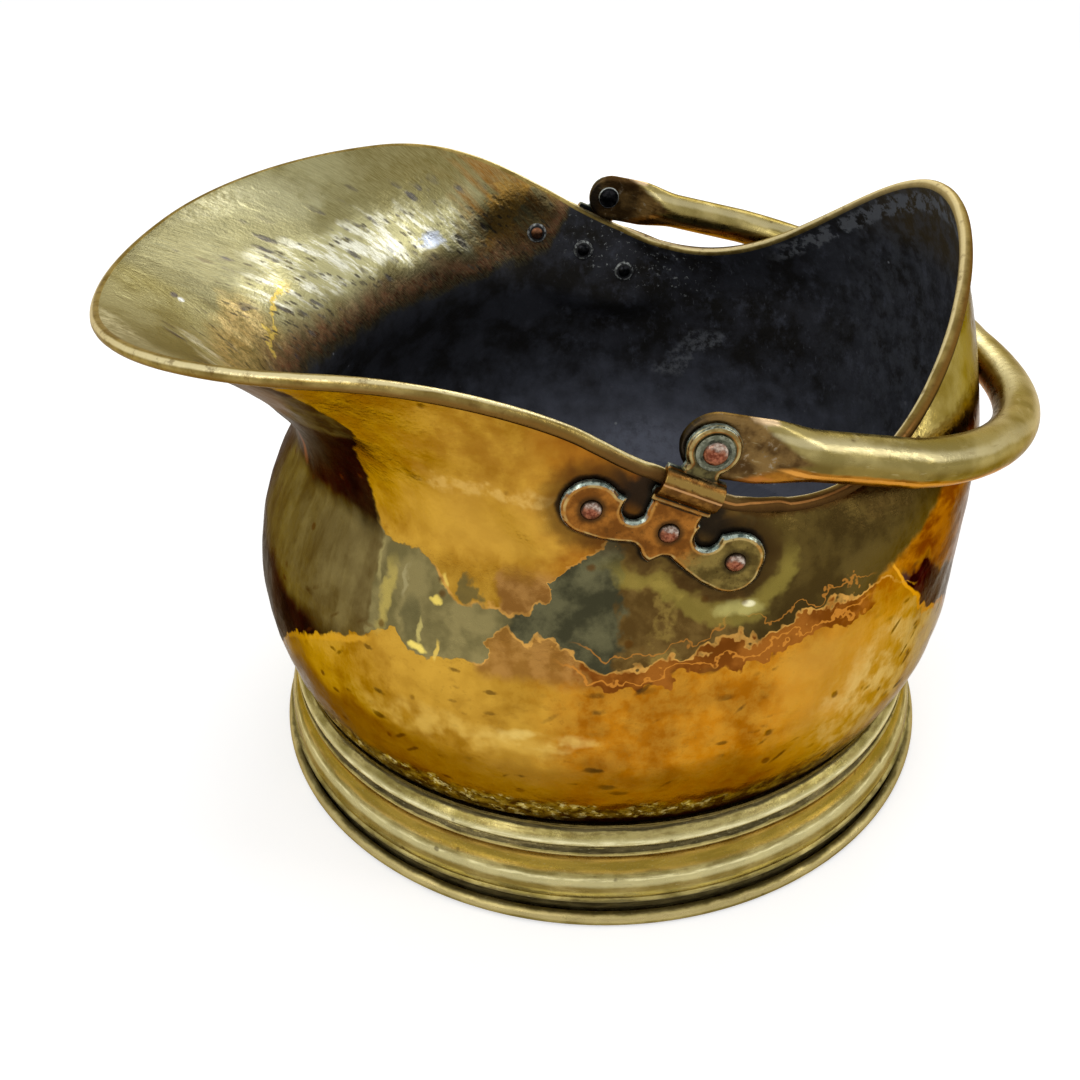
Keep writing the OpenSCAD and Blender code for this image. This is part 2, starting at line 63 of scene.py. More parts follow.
# Ovals of wall pressed flat under a bracket: height in it, half width, half height, share that fades
LOBE_PATCH, NECK_PATCH = (-6, 46, 22, 0.35), (18, 13, 12, 0.5)

FOOT_R, FOOT_T, FOOT_ROLL_R, FOOT_LEAN, LEDGE_W = 162.5, 1.3, 1.8, 9.2, 10.0
FOOT_SUNK = 0.3
FOOT_ROLL_X = FOOT_R - FOOT_ROLL_R - FOOT_T
FOOT_ROLL_Z = FOOT_ROLL_R + FOOT_T - FOOT_SUNK

BRACKET_X, BRACKET_BELOW, BRACKET_TILT = 8.75, 19.6, 25.0
BRACKET_T, EYE_RISE = 2.8, 32.2
RIVET_SPOTS = {"front": (-27.7, -1.0), "middle": (0.0, 0.0), "back": (26.4, -2.4)}

RIVET_D, RIVET_HEAD_D, RIVET_HEAD_H = 4.4, 7.4, 1.9
ROVE_D, ROVE_T, ROVE_TOP = 10.6, 1.2, -2 * SEAT_GAP - SHEET
PIVOT_D, PIVOT_HEAD_D, WASHER_D, WASHER_T, SPACER_T, SIDE_PLAY = 6.0, 8.2, 12.8, 0.9, 1.5, 0.15
BURR_D, BURR_T, PIVOT_GAP = 11.0, 1.2, 0.08

BAIL_D, BAIL_REACH, BAIL_DROP = 17.2, 152.89, 13.1
FLAT_T, FLAT_R, FLAT_SAG, FLAT_SHIFT = 3.8, 11.6, 0.5, 1.5
FLAT_RUN, ROUND_RUN, ARM_RUN, ARM_IN = 16.0, 38.0, 73.0, 8.5
FLAT_OUT = -SPACER_T - SIDE_PLAY
# Where the bow's curve is drawn to, in shares of the reach and of the arms' half width
BOW_PULLS = (0.78, 0.883), (1.039, 0.52)


# ---- shape of the bowl ----

def ease(t):
    t = np.clip(t, 0, 1)
    return t * t * (3 - 2 * t)


def mix(a, b, t):
    return a + (b - a) * t


def cosd(a):
    return np.cos(np.radians(a))


def sind(a):
    return np.sin(np.radians(a))


def rim_radius(turn):
    start = np.maximum(0, turn - SPOUT_FROM) / (SPOUT_ANGLE - SPOUT_FROM)
    return mix(RIM_BACK_R, SPOUT_REACH, ease(start ** SPOUT_EASE))


def rim_height(turn):
    to_dip = mix(DIP_H, BACK_H, (1 + cosd(180 * turn / DIP_ANGLE)) / 2)
    span = SHOULDER_ANGLE - DIP_ANGLE
    to_shoulder = mix(SHOULDER_H, DIP_H, (1 + cosd(180 * (turn - DIP_ANGLE) / span)) / 2)
    span = 180 - SHOULDER_ANGLE
    to_lip = mix(LIP_H, SHOULDER_H, (1 + cosd(180 * (turn - SHOULDER_ANGLE) / span)) / 2)
    return np.where(turn < DIP_ANGLE, to_dip, np.where(turn < SHOULDER_ANGLE, to_shoulder, to_lip))


def bowl_radius(turn, z):
    belly = mix(BELLY_FRONT_R, BELLY_BACK_R, ease((1 + cosd(turn)) / 2))
    waist = WAIST_SIDE_IN * ease((turn - WAIST_FROM) / (WAIST_SIDE - WAIST_FROM))
    to_front = ease((turn - WAIST_SIDE) / (WAIST_FRONT - WAIST_SIDE))
    waist = waist + (WAIST_FRONT_IN - WAIST_SIDE_IN) * to_front
    low = mix(BASE_R, belly, 1 - ((BELLY_H - z) / (BELLY_H - FOOT_H)) ** 2)
    high = belly - waist * ((z - BELLY_H) / (WAIST_H - BELLY_H)) ** 2
    return np.where(z < BELLY_H, low, high)


def wall_radius(turn, z):
    top = rim_height(turn)
    bend = np.maximum(0, (z - FLARE_H) / (top - FLARE_H))
    return bowl_radius(turn, z) + (rim_radius(turn) - bowl_radius(turn, top)) * bend ** FLARE_POWER


BRACKET_Z = float(rim_height(math.degrees(math.acos(BRACKET_X / RIM_BACK_R)))) - BRACKET_BELOW
PAD_ANGLE = math.acos(BRACKET_X / float(wall_radius(90.0, BRACKET_Z)))
PAD_Y = float(wall_radius(math.degrees(PAD_ANGLE), BRACKET_Z)) * math.sin(PAD_ANGLE) - PAD_IN
SEAT_Y = PAD_Y + SEAT_GAP
FLAT_MID_Y = SEAT_Y + FLAT_OUT - FLAT_T / 2
ARM_HALF_W = FLAT_MID_Y - ARM_IN


def outside_patch(patch, along, up):
    rise, half_w, half_h, fade = patch
    return ease((np.hypot(along / half_w, (up - rise) / half_h) - 1) / fade)


def bracket_patch(x, z):
    """1 on the flattened wall under the bracket, fading to 0 round it."""
    dx, dz = x - BRACKET_X, z - BRACKET_Z
    along = dx * cosd(BRACKET_TILT) - dz * sind(BRACKET_TILT)
    up = dx * sind(BRACKET_TILT) + dz * cosd(BRACKET_TILT)
    return 1 - outside_patch(LOBE_PATCH, along, up) * outside_patch(NECK_PATCH, along, up)


def wall_point(angle, share):
    """Outer face of the wall at an angle, at a share of the height from the base to the rim."""
    turn = np.abs((angle + 180) % 360 - 180)
    z = mix(FOOT_H, rim_height(turn), share)
    r = wall_radius(turn, z)
    x, y = r * cosd(angle), r * sind(angle)
    y = mix(y, np.sign(y) * PAD_Y, bracket_patch(x, z))
    return np.stack([x, y, z], -1)


def unit(v):
    return v / np.linalg.norm(v, axis=-1, keepdims=True)


def wall_out(angle, share, turn=0.5, climb=0.005):
    """Directions out of the wall and along it, from points a small turn and climb away."""
    along = wall_point(angle + turn, share) - wall_point(angle - turn, share)
    up = wall_point(angle, np.minimum(share + climb, 1)) - wall_point(angle, np.maximum(share - climb, 0))
    return unit(np.cross(along, up)), unit(along)


def roll_point(angle, turned):
    """Point on the inner face of the rolled rim, after the sheet has turned by that angle."""
    out, along = wall_out(angle, 1.0)
    up = unit(np.cross(out, along))
    face = (180 - turned)[:, None]
    return wall_point(angle, 1.0) + ROLL_R * (out + cosd(face) * out + sind(face) * up)


# ---- modelling by hand ----

SHARP = 50  # degrees between two faces from which their edge stays sharp
SAME_SPOT = 0.002  # points of a turned piece this near to each other are one


def deselect():
    if bpy.context.mode != "OBJECT":
        bpy.ops.object.mode_set(mode="OBJECT")
    bpy.ops.object.select_all(action="DESELECT")


def take(piece):
    deselect()
    piece.select_set(True)
    bpy.context.view_layer.objects.active = piece
    return piece


def named(piece, name):
    piece.name = name
    piece.data.name = name
    return piece


def apply_modifier(piece, kind, **settings):
    take(piece)
    modifier = piece.modifiers.new(kind.title(), kind)
    for key, value in settings.items():
        setattr(modifier, key, value)
    bpy.ops.object.modifier_apply(modifier=modifier.name)


def points_of(piece):
    co = np.empty(len(piece.data.vertices) * 3)
    piece.data.vertices.foreach_get("co", co)
    return co.reshape(-1, 3)


def set_points(piece, points):
    piece.data.vertices.foreach_set("co", np.ascontiguousarray(points, float).ravel())
    piece.data.update()


def mark(piece, name, values):
    """Keeps a number at each point of the piece for its material to read."""
    layer = piece.data.attributes.new(name, "FLOAT", "POINT")
    layer.data.foreach_set("value", np.asarray(values, np.float32))


def read_mark(piece, name):
    values = np.empty(len(piece.data.vertices), np.float32)
    piece.data.attributes[name].data.foreach_get("value", values)
    return values


def smooth(piece, angle=None):
    take(piece)
    if angle is None:
        bpy.ops.object.shade_smooth()
    else:
        bpy.ops.object.shade_smooth_by_angle(angle=math.radians(angle))
    return piece


def wear(piece, *materials):
    """Gives the piece its materials, and keeps which face has which."""
    slots = piece.data.materials
    while len(slots) > len(materials):
        slots.pop()
    while len(slots) < len(materials):
        slots.append(None)
    for index, material in enumerate(materials):
        slots[index] = material


def merge_seams(piece, gap=0.01):
    take(piece)
    bpy.ops.object.mode_set(mode="EDIT")
    bpy.ops.mesh.select_all(action="SELECT")
    bpy.ops.mesh.remove_doubles(threshold=gap * MM)
    bpy.ops.object.mode_set(mode="OBJECT")


def laid_grid(name, columns, rows):
    """A flat sheet of columns by rows faces. Returns it with the column and row number of each point."""
    deselect()
    bpy.ops.mesh.primitive_grid_add(x_subdivisions=columns, y_subdivisions=rows, size=1)
    sheet = named(bpy.context.active_object, name)
    flat = points_of(sheet) + 0.5
    return sheet, np.round(flat[:, 0] * columns), np.round(flat[:, 1] * rows)


def turned(name, profile, steps):
    """A piece turned on a lathe: the profile of (radius, height) points is extruded, then spun round Z.

    Its marks say how far each point is from the middle, how high on the face and at what level."""
    deselect()
    bpy.ops.mesh.primitive_plane_add(size=1)
    piece = named(bpy.context.active_object, name)
    bpy.ops.object.mode_set(mode="EDIT")
    bpy.ops.mesh.select_all(action="SELECT")
    bpy.ops.mesh.merge(type="CENTER")
    at = (0.0, 0.0)
    for count, (r, z) in enumerate(profile):
        step = ((r - at[0]) * MM, 0, (z - at[1]) * MM)
        if count == 0:
            bpy.ops.transform.translate(value=step)
        else:
            bpy.ops.mesh.extrude_region_move(TRANSFORM_OT_translate={"value": step})
        at = (r, z)
    bpy.ops.mesh.select_all(action="SELECT")
    bpy.ops.mesh.spin(steps=steps, angle=2 * math.pi, center=(0, 0, 0), axis=(0, 0, 1))
    bpy.ops.mesh.select_all(action="SELECT")
    bpy.ops.mesh.remove_doubles(threshold=SAME_SPOT * MM)
    bpy.ops.mesh.normals_make_consistent(inside=False)
    bpy.ops.object.mode_set(mode="OBJECT")
    points = points_of(piece)
    from_middle = np.linalg.norm(points[:, :2], axis=1)
    mark(piece, "middle", from_middle / from_middle.max())
    mark(piece, "high", points[:, 1] / from_middle.max())
    mark(piece, "level", points[:, 2] / MM)
    return piece


def placed(piece, matrix):
    """Puts a piece modelled at the origin in its place, in its mesh."""
    piece.data.transform(matrix)
    piece.data.update()
    if matrix.determinant() < 0:
        piece.data.flip_normals()
    return piece


def copied(piece, name):
    twin = piece.copy()
    twin.data = piece.data.copy()
    bpy.context.scene.collection.objects.link(twin)
    return named(twin, name)


def bracket_frame(side, u=0.0, v=0.0, out=0.0):
    """Place on the near or far bracket: X along the rivets to the back, Y up, Z out from the wall."""
    near = (Matrix.Translation((BRACKET_X * MM, -SEAT_Y * MM, BRACKET_Z * MM))
            @ Matrix.Rotation(math.radians(BRACKET_TILT), 4, "Y")
            @ Matrix.Rotation(math.radians(90), 4, "X")
            @ Matrix.Translation((u * MM, v * MM, out * MM)))
    return near if side == "near" else Matrix.Diagonal((1, -1, 1, 1)) @ near


# ---- bowl ----

AROUND, BASE_ROWS, WALL_ROWS, ROLL_ROWS = 400, 6, 94, 12
CLEAR_OF_BRACKET, CLEAR_OF_RIM, CLEAR_OF_FOOT = (9, 26), (7, 20), (50, 56)
# Dents in the spout, given one by one: degrees from the back, height, radius, depth
DENTS = ((121, 199, 6, 0.9), (128, 209, 4, 0.6), (137, 214, 5, 0.7), (144, 206, 7, 0.8), (151, 197, 5, 0.6),
         (173, 219, 4, 0.6), (181, 220, 4, 0.8), (176, 201, 6, 0.7), (160, 209, 5, 0.5), (112, 212, 6, 0.6))
# Unevenness of the sheet: name, texture, size of a lump, full height
LUMPS, HAMMER_MARKS = ("lumps", "CLOUDS", 48, 1.5), ("hammer_marks", "VORONOI", 13, 0.5)
CRUMPLE = ("crumple", "CLOUDS", 9, 1.6)
CRUMPLE_TOP, CRUMPLE_FADE, CRUMPLE_FROM, CRUMPLE_FULL = 70, 8, 60, 90
PAD_ZONE, PAD_FADE, PAD_BELOW_RIM, PAD_SMOOTHING = (4, 45), 6, 3, 40
DENTED_R, FAR_AWAY, SIDE_Y, TOO_LIGHT = 180, 1000.0, 90, 0.01


def bracket_distances(points):
    """How far each point, in metres, is from the nearer of the two brackets, in millimetres."""
    nearest = np.full(len(points), FAR_AWAY)
    for side in ("near", "far"):
        tree = BVHTree.FromObject(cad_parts[f"{side}_bracket"], bpy.context.evaluated_depsgraph_get())
        for i in np.flatnonzero(points[:, 1] * (-1 if side == "near" else 1) > SIDE_Y * MM):
            nearest[i] = min(nearest[i], tree.find_nearest(Vector(points[i]))[3] / MM)
    return nearest


def rising(values, start, end):
    """0 up to the start and 1 from the end, eased between them."""
    return ease((values - start) / (end - start))


def beat(sheet, weights, group, kind, size, depth):
    """Displaces the sheet along its normals by a texture, where the weights let it."""
    members = sheet.vertex_groups.new(name=group)
    for i in np.flatnonzero(weights > TOO_LIGHT):
        members.add([int(i)], float(weights[i]), "REPLACE")
    texture = bpy.data.textures.new(group, kind)
    texture.noise_scale = size * MM
    apply_modifier(sheet, "DISPLACE", texture=texture, strength=depth * MM, mid_level=0.5,
                   vertex_group=group, texture_coords="LOCAL")
    sheet.vertex_groups.clear()
    bpy.data.textures.remove(texture)


def bowl():
    """One sheet from the middle of the base to the end of the rolled rim, hammered, then made thick."""
    sheet, column, row = laid_grid("bowl", AROUND, BASE_ROWS + WALL_ROWS + ROLL_ROWS)
    angle = column * 360 / AROUND - 180
    share = np.clip((row - BASE_ROWS) / WALL_ROWS, 0, 1)
    on_base = row < BASE_ROWS
    on_roll = row > BASE_ROWS + WALL_ROWS
    points = wall_point(angle, share)
    points[on_base, :2] *= (row[on_base] / BASE_ROWS)[:, None]
    swept = ROLL_SWEEP * (row - BASE_ROWS - WALL_ROWS) / ROLL_ROWS
    points[on_roll] = roll_point(angle[on_roll], swept[on_roll])
    half_turn, height = np.abs(angle), points[:, 2]
    below_rim = np.where(on_roll, 0, rim_height(half_turn) - height)
    for place, radius, deep in ((d[:2], d[2], d[3]) for d in DENTS):
        off = np.hypot(np.radians(half_turn - place[0]) * wall_radius(half_turn, height), height - place[1])
        points[:, :2] *= (1 + deep * np.exp(-2 * (off / radius) ** 2) / DENTED_R * ~on_roll)[:, None]
    set_points(sheet, points * MM)
    by_bracket = bracket_distances(points * MM)
    for name, values in (("turn", half_turn), ("rise", height), ("below_rim", below_rim),
                         ("swept", swept * on_roll), ("by_bracket", by_bracket)):
        mark(sheet, name, values)
    merge_seams(sheet)
    height, below_rim = read_mark(sheet, "rise"), read_mark(sheet, "below_rim")
    by_bracket, half_turn = read_mark(sheet, "by_bracket"), read_mark(sheet, "turn")
    above_foot = rising(height, *CLEAR_OF_FOOT)
    free = rising(below_rim, *CLEAR_OF_RIM) * rising(by_bracket, *CLEAR_OF_BRACKET) * above_foot
    around_pad = sheet.vertex_groups.new(name="around_pad")
    for i in np.flatnonzero((by_bracket > PAD_ZONE[0]) & (by_bracket < PAD_ZONE[1])):
        loose = ease((by_bracket[i] - PAD_ZONE[0]) / PAD_FADE)
        loose = loose * ease((below_rim[i] - PAD_BELOW_RIM) / PAD_FADE)
        around_pad.add([int(i)], float(loose), "REPLACE")
    apply_modifier(sheet, "SMOOTH", factor=0.5, iterations=PAD_SMOOTHING, vertex_group="around_pad")
    sheet.vertex_groups.clear()
    beat(sheet, free, *LUMPS)
    beat(sheet, free, *HAMMER_MARKS)
    low = above_foot * ease((CRUMPLE_TOP - height) / CRUMPLE_FADE)
    beat(sheet, low * rising(half_turn, CRUMPLE_FROM, CRUMPLE_FULL), *CRUMPLE)
    wear(sheet, None, None)
    apply_modifier(sheet, "SOLIDIFY", thickness=SHEET * MM, offset=-1, material_offset=1,
                   material_offset_rim=0, use_even_offset=True)
    return smooth(sheet, SHARP)


# ---- foot ----

FOOT_LOW = FOOT_ROLL_X - FOOT_ROLL_R
# Heights between which the mouldings run, from the top down
TORUS, COVE, OVOLO = (43.6, 36.2), (33.2, 25), (25, 13.2)
# Heights, and how far the foot's face stands off its cone there
GROOVE, LIP = ((44.8, 0.6), (43.6, 0.6)), ((34.9, 2.1), (34.3, 2.4), (33.4, 2.3))
# Heights, and how far the face stands off the lower edge there
LOWER = (12.3, 1.9), (11.4, 0.9), (10.2, 0.3), (9.0, 0), (7.0, 0), (5.0, 0)
FOOT_TURNS, FOOT_FACE_Z = 288, 20


def foot_cone(z):
    return FOOT_LOW - FOOT_LEAN * (z - FOOT_ROLL_Z) / (FOOT_H - FOOT_ROLL_Z)


def swell(low, high, steps, out):
    """Points of a moulding between two heights; out(t) is how far it stands off the foot's cone."""
    return [(foot_cone(mix(low, high, i / steps)) + out(i / steps), mix(low, high, i / steps))
            for i in range(steps + 1)]


def foot():
    ledge = [(BASE_R - LEDGE_W, FOOT_H), (BASE_R - 4, FOOT_H), (BASE_R, FOOT_H), (BASE_R + 1, FOOT_H - 0.2)]
    groove = [(BASE_R + 1, 45.6)] + [(foot_cone(z) + out, z) for z, out in GROOVE]
    torus = swell(*TORUS, 12, lambda t: 0.9 + 2.4 * math.sin(math.pi * t))[1:]
    lip = [(foot_cone(z) + out, z) for z, out in LIP]
    cove = swell(*COVE, 10, lambda t: 1.7 + 0.4 * (1 - t) - 1.6 * math.sin(math.pi * t))[:-1]
    ovolo = swell(*OVOLO, 16, lambda t: 2.1 + 1.6 * math.sin(math.radians(180 - 160 * t)))
    lower = [(FOOT_LOW + out, z) for z, out in LOWER]
    roll = [(FOOT_ROLL_X + FOOT_ROLL_R * math.cos(math.radians(a)),
             FOOT_ROLL_Z + FOOT_ROLL_R * math.sin(math.radians(a))) for a in range(180, 478, 18)]
    ring = turned("foot", ledge + groove + torus + lip + cove + ovolo + lower + roll, FOOT_TURNS)
    above = (p for p in ring.data.polygons if p.center.z > FOOT_FACE_Z * MM)
    facing = sum(p.normal.x * p.center.x + p.normal.y * p.center.y for p in above)
    if facing < 0:
        ring.data.flip_normals()
    apply_modifier(ring, "SOLIDIFY", thickness=FOOT_T * MM, offset=-1, use_even_offset=True)
    points = points_of(ring)
    points[:, 2] = np.maximum(points[:, 2], 0)
    set_points(ring, points)
    return smooth(ring, SHARP)


# ---- brackets ----

CASTING_GRAIN, CASTING_SEAM = 0.42, 0.02


def bracket(side):
    """The casting keeps the frame's bracket as its core; remeshing and smoothing round its edges."""
    casting = copied(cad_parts[f"{side}_bracket"], f"{side}_bracket_casting")
    casting.parent = None
    for key in list(casting.keys()):
        del casting[key]
    merge_seams(casting, CASTING_SEAM)
    apply_modifier(casting, "REMESH", mode="VOXEL", voxel_size=CASTING_GRAIN * MM, use_smooth_shade=True)
    apply_modifier(casting, "SMOOTH", factor=0.5, iterations=3)
    back = bracket_frame(side).inverted()
    spots = np.array([back @ v.co for v in casting.data.vertices]) / MM
    for name, values in zip(("along", "up", "out"), spots.T):
        mark(casting, name, values)
    mark(casting, "upward", [v.normal.z for v in casting.data.vertices])
    from_rivets = [np.hypot(*(spots[:, :2] - spot).T) for spot in RIVET_SPOTS.values()]
    mark(casting, "by_rivet", np.min(from_rivets, axis=0) - RIVET_HEAD_D / 2)
    return smooth(casting)


# ---- rivets, roves and pivots ----

# Hammered ends: shares of the rivet's width, or radii, and how far each stands out
RIVET_TAIL = (0, 1.1), (0.35, 1.0), (0.62, 0.5), (0.72, 0)
PIVOT_TAIL = (0, 0.9), (2.6, 0.6), (3.6, 0.1), (4.2, 0)
ROVE_PLAY, WASHER_PLAY, WASHER_EDGE, BURR_EDGE = 0.1, 0.05, 0.25, 0.3
RIVET_TURNS, ROVE_TURNS, PIVOT_TURNS = 32, 40, 48


def dome(d, h, base, steps=7):
    """Profile of a hammered dome from its edge at height base up to its middle."""
    return [(d / 2 * math.cos(math.radians(a)), base + h * math.sin(math.radians(a)))
            for a in [90 * i / steps for i in range(steps)]] + [(0, base + h)]


def rivet():
    low, r = ROVE_TOP - ROVE_T, RIVET_D / 2
    shank = [(RIVET_D * wide, low - out) for wide, out in RIVET_TAIL] + [(r, low), (r, BRACKET_T)]
    return turned("rivet", shank + dome(RIVET_HEAD_D, RIVET_HEAD_H, BRACKET_T), RIVET_TURNS)


def rove():
    low, high, r, hole = ROVE_TOP - ROVE_T, ROVE_TOP, ROVE_D / 2, RIVET_D / 2 + ROVE_PLAY
    ring = [(hole, low), (r - 0.9, low), (r - 0.3, low + 0.25), (r, low + 0.7), (r, high), (hole, high)]
    return turned("rove", ring + ring[:1], ROVE_TURNS)


def washer(name, low, high):
    r, hole, edge = WASHER_D / 2, PIVOT_D / 2 + WASHER_PLAY, WASHER_EDGE
    ring = [(hole, low), (r - edge, low), (r, low + edge), (r, high - edge), (r - edge, high), (hole, high),
            (hole, low)]
    return turned(name, ring, PIVOT_TURNS)


def pivot():
    inner, top, r = FLAT_OUT - FLAT_T - SIDE_PLAY, BRACKET_T + WASHER_T, BURR_D / 2
    low = inner - BURR_T
    end = [(wide, low - out) for wide, out in PIVOT_TAIL]
    burr = [(r - BURR_EDGE, low), (r, low + BURR_EDGE), (r, inner)]
    pin = [(PIVOT_D / 2, inner), (PIVOT_D / 2, top)]
    return turned("pivot", end + burr + pin + dome(PIVOT_HEAD_D, RIVET_HEAD_H, top), PIVOT_TURNS)


def fastenings():
    """Each fastening is made once and copied to its places. Returns them with their kinds and nodes."""
    made = []
    on_wall = {f"_{place}": spot for place, spot in RIVET_SPOTS.items()}
    on_eye = {"": (0, EYE_RISE)}
    kinds = (("rivet", rivet(), on_wall, "{0}{2}_{1}_head"), ("rove", rove(), on_wall, "{0}{2}_{1}"),
             ("pivot_rivet", pivot(), on_eye, "{0}_{1}_turned"),
             ("pivot_washer", washer("washer", BRACKET_T, BRACKET_T + WASHER_T), on_eye, "{0}_{1}_turned"),
             ("pivot_spacer", washer("spacer", -SPACER_T, 0), on_eye, "{0}_{1}_turned"))
    for node, pattern, spots, name in kinds:
        for side in ("near", "far"):
            for place, spot in spots.items():
                piece = placed(copied(pattern, name.format(side, node, place)), bracket_frame(side, *spot))
                made.append((smooth(piece, SHARP), node, f"{side}_{node}{place}"))
        bpy.data.objects.remove(pattern)
    return made


# ---- bail ----

TUBE_SIDES, END_RINGS, ARM_RINGS, BOW_RINGS = 48, 14, 40, 60
ROUNDER = 0.2  # the part's tube has flat sides, so the round one starts that much further in
TIP_SHORT, SQUEEZED_TO, TIP_THIN, TIP_THICKENS = 0.05, 3, 0.45, 4
FACING_FROM, FACING_FADE = 8, 20
FLAT_FACE_TO, FLAT_EDGE_TO, FLATNESS_FADE = 26, 12, 12
FACE_EDGE, TUBE_SEAM, DRILL_SIDES, BAIL_SHARP = 0.3, 0.005, 48, 60


def arm_y(x):
    return mix(FLAT_MID_Y, ARM_HALF_W, np.maximum(0, (x - FLAT_RUN) / (ARM_RUN - FLAT_RUN)))


def bail_line():
    """Middle line of half the bail in its own plane: (reach, half width), from its tip to its middle."""
    tip = [FLAT_SHIFT - (FLAT_R - TIP_SHORT) * math.cos(math.radians(90 * i / END_RINGS))
           for i in range(END_RINGS)]
    arm = list(np.linspace(FLAT_SHIFT, ARM_RUN, ARM_RINGS, endpoint=False))
    line = [(x, float(arm_y(x))) for x in tip + arm]
    a, d = np.array([ARM_RUN, ARM_HALF_W]), np.array([BAIL_REACH - ROUNDER, 0])
    b, c = (np.array([BAIL_REACH * reach, ARM_HALF_W * out]) for reach, out in BOW_PULLS)
    for i in range(BOW_RINGS + 1):
        t = i / BOW_RINGS
        s = 1 - t
        line.append(tuple(s ** 3 * a + 3 * s * s * t * b + 3 * s * t * t * c + t ** 3 * d))
    return np.array(line)


def stadium(share, half_t, half_w):
    """Point at a share of the way round a flattened tube, from the middle of its outer face."""
    straight = max(half_w - half_t, 0)
    length = 4 * straight + 2 * math.pi * half_t
    s = (share * length) % length
    if s < straight:
        return half_t, s
    if s < straight + math.pi * half_t:
        a = (s - straight) / half_t
        return half_t * math.cos(a), straight + half_t * math.sin(a)
    if s < 3 * straight + math.pi * half_t:
        return -half_t, 2 * straight + math.pi * half_t - s
    if s < 3 * straight + 2 * math.pi * half_t:
        a = (s - 3 * straight - math.pi * half_t) / half_t
        return -half_t * math.cos(a), -straight - half_t * math.sin(a)
    return half_t, s - length


def tube_section(x):
    """Half thickness and half width of the tube at a reach x from the pivot."""
    squeeze = float(ease((x - FLAT_RUN + SQUEEZED_TO) / (ROUND_RUN - FLAT_RUN + SQUEEZED_TO)))
    half_t = mix(FLAT_T / 2, BAIL_D / 2, squeeze)
    half_w = mix(FLAT_R, BAIL_D / 2, float(ease((x - FLAT_RUN) / (ROUND_RUN - FLAT_RUN))))
    if x < FLAT_SHIFT:
        half_w = math.sqrt(max(FLAT_R ** 2 - (x - FLAT_SHIFT) ** 2, 0.01))
        half_t = min(half_t, FLAT_T / 2 * min(1, TIP_THIN + half_w / TIP_THICKENS))
    return min(half_t, half_w), half_w


def bail():
    """A tube laid along its line with flattened ends, closed at its tips and drilled for the pivots."""
    half = bail_line()
    line = np.concatenate([half, half[-2::-1] * [1, -1]])
    rings = len(line)
    tube, column, row = laid_grid("bail_handle", TUBE_SIDES, rings - 1)
    way = unit(np.gradient(line, axis=0))
    side = np.stack([-way[:, 1], way[:, 0]], -1)
    points = np.zeros((len(column), 3))
    flatness = np.zeros(len(column))
    for i, (j, k) in enumerate(zip(column.astype(int), row.astype(int))):
        x = line[k, 0]
        half_t, half_w = tube_section(x)
        out, up = stadium(j / TUBE_SIDES, half_t, half_w)
        straight_out = np.array([0, 1 if line[k, 1] > 0 else -1])
        facing = unit(mix(straight_out, side[k], float(ease((x - FACING_FROM) / FACING_FADE))))
        points[i] = (line[k, 0] + out * facing[0], line[k, 1] + out * facing[1], up - FLAT_SAG)
        flat_to = FLAT_FACE_TO if abs(up) < half_w - half_t + FACE_EDGE else FLAT_EDGE_TO
        flatness[i] = 1 - float(ease((x - flat_to) / FLATNESS_FADE))
    mark(tube, "flatness", flatness)
    mark(tube, "reach", points[:, 0])
    mark(tube, "lift", points[:, 2])
    set_points(tube, points * MM)
    take(tube)
    bpy.ops.object.mode_set(mode="EDIT")
    bpy.ops.mesh.select_all(action="SELECT")
    bpy.ops.mesh.remove_doubles(threshold=TUBE_SEAM * MM)
    bpy.ops.mesh.select_all(action="DESELECT")
    bpy.ops.mesh.select_non_manifold()
    bpy.ops.mesh.fill()
    bpy.ops.mesh.select_all(action="SELECT")
    bpy.ops.mesh.normals_make_consistent(inside=False)
    deselect()
    bpy.ops.mesh.primitive_cylinder_add(vertices=DRILL_SIDES, radius=(PIVOT_D / 2 + PIVOT_GAP) * MM,
                                        depth=3 * FLAT_MID_Y * MM, rotation=(math.pi / 2, 0, 0))
    drill = bpy.context.active_object
    apply_modifier(tube, "BOOLEAN", operation="DIFFERENCE", solver="EXACT", object=drill)
    bpy.data.objects.remove(drill)
    pivot_x = BRACKET_X + EYE_RISE * sind(BRACKET_TILT)
    pivot_z = BRACKET_Z + EYE_RISE * cosd(BRACKET_TILT)
    rest = (Matrix.Translation((pivot_x * MM, 0, pivot_z * MM))
            @ Matrix.Rotation(math.radians(BAIL_DROP), 4, "Y"))
    return smooth(placed(tube, rest), BAIL_SHARP)


# ---- finishes ----

RAMP_LONG, RAMP_TOP = 180, 260  # what the ramp of a boundary spans: degrees along it and millimetres up


class Value:
    """A socket in a node tree; sums with it in Python add its Math nodes."""

    def __init__(self, nodes, socket):
        self.nodes, self.socket = nodes, socket

    def math(self, operation, *terms):
        return self.nodes.node("Math", {"operation": operation}, dict(enumerate(terms)))

    def __add__(self, other):
        return self.math("ADD", self, other)

    def __sub__(self, other):
        return self.math("SUBTRACT", self, other)

    def __rsub__(self, other):
        return self.math("SUBTRACT", other, self)

    def __mul__(self, other):
        return self.math("MULTIPLY", self, other)

    def __truediv__(self, other):
        return self.math("DIVIDE", self, other)

    def __abs__(self):
        return self.math("ABSOLUTE", self)

    __radd__ = __add__
    __rmul__ = __mul__


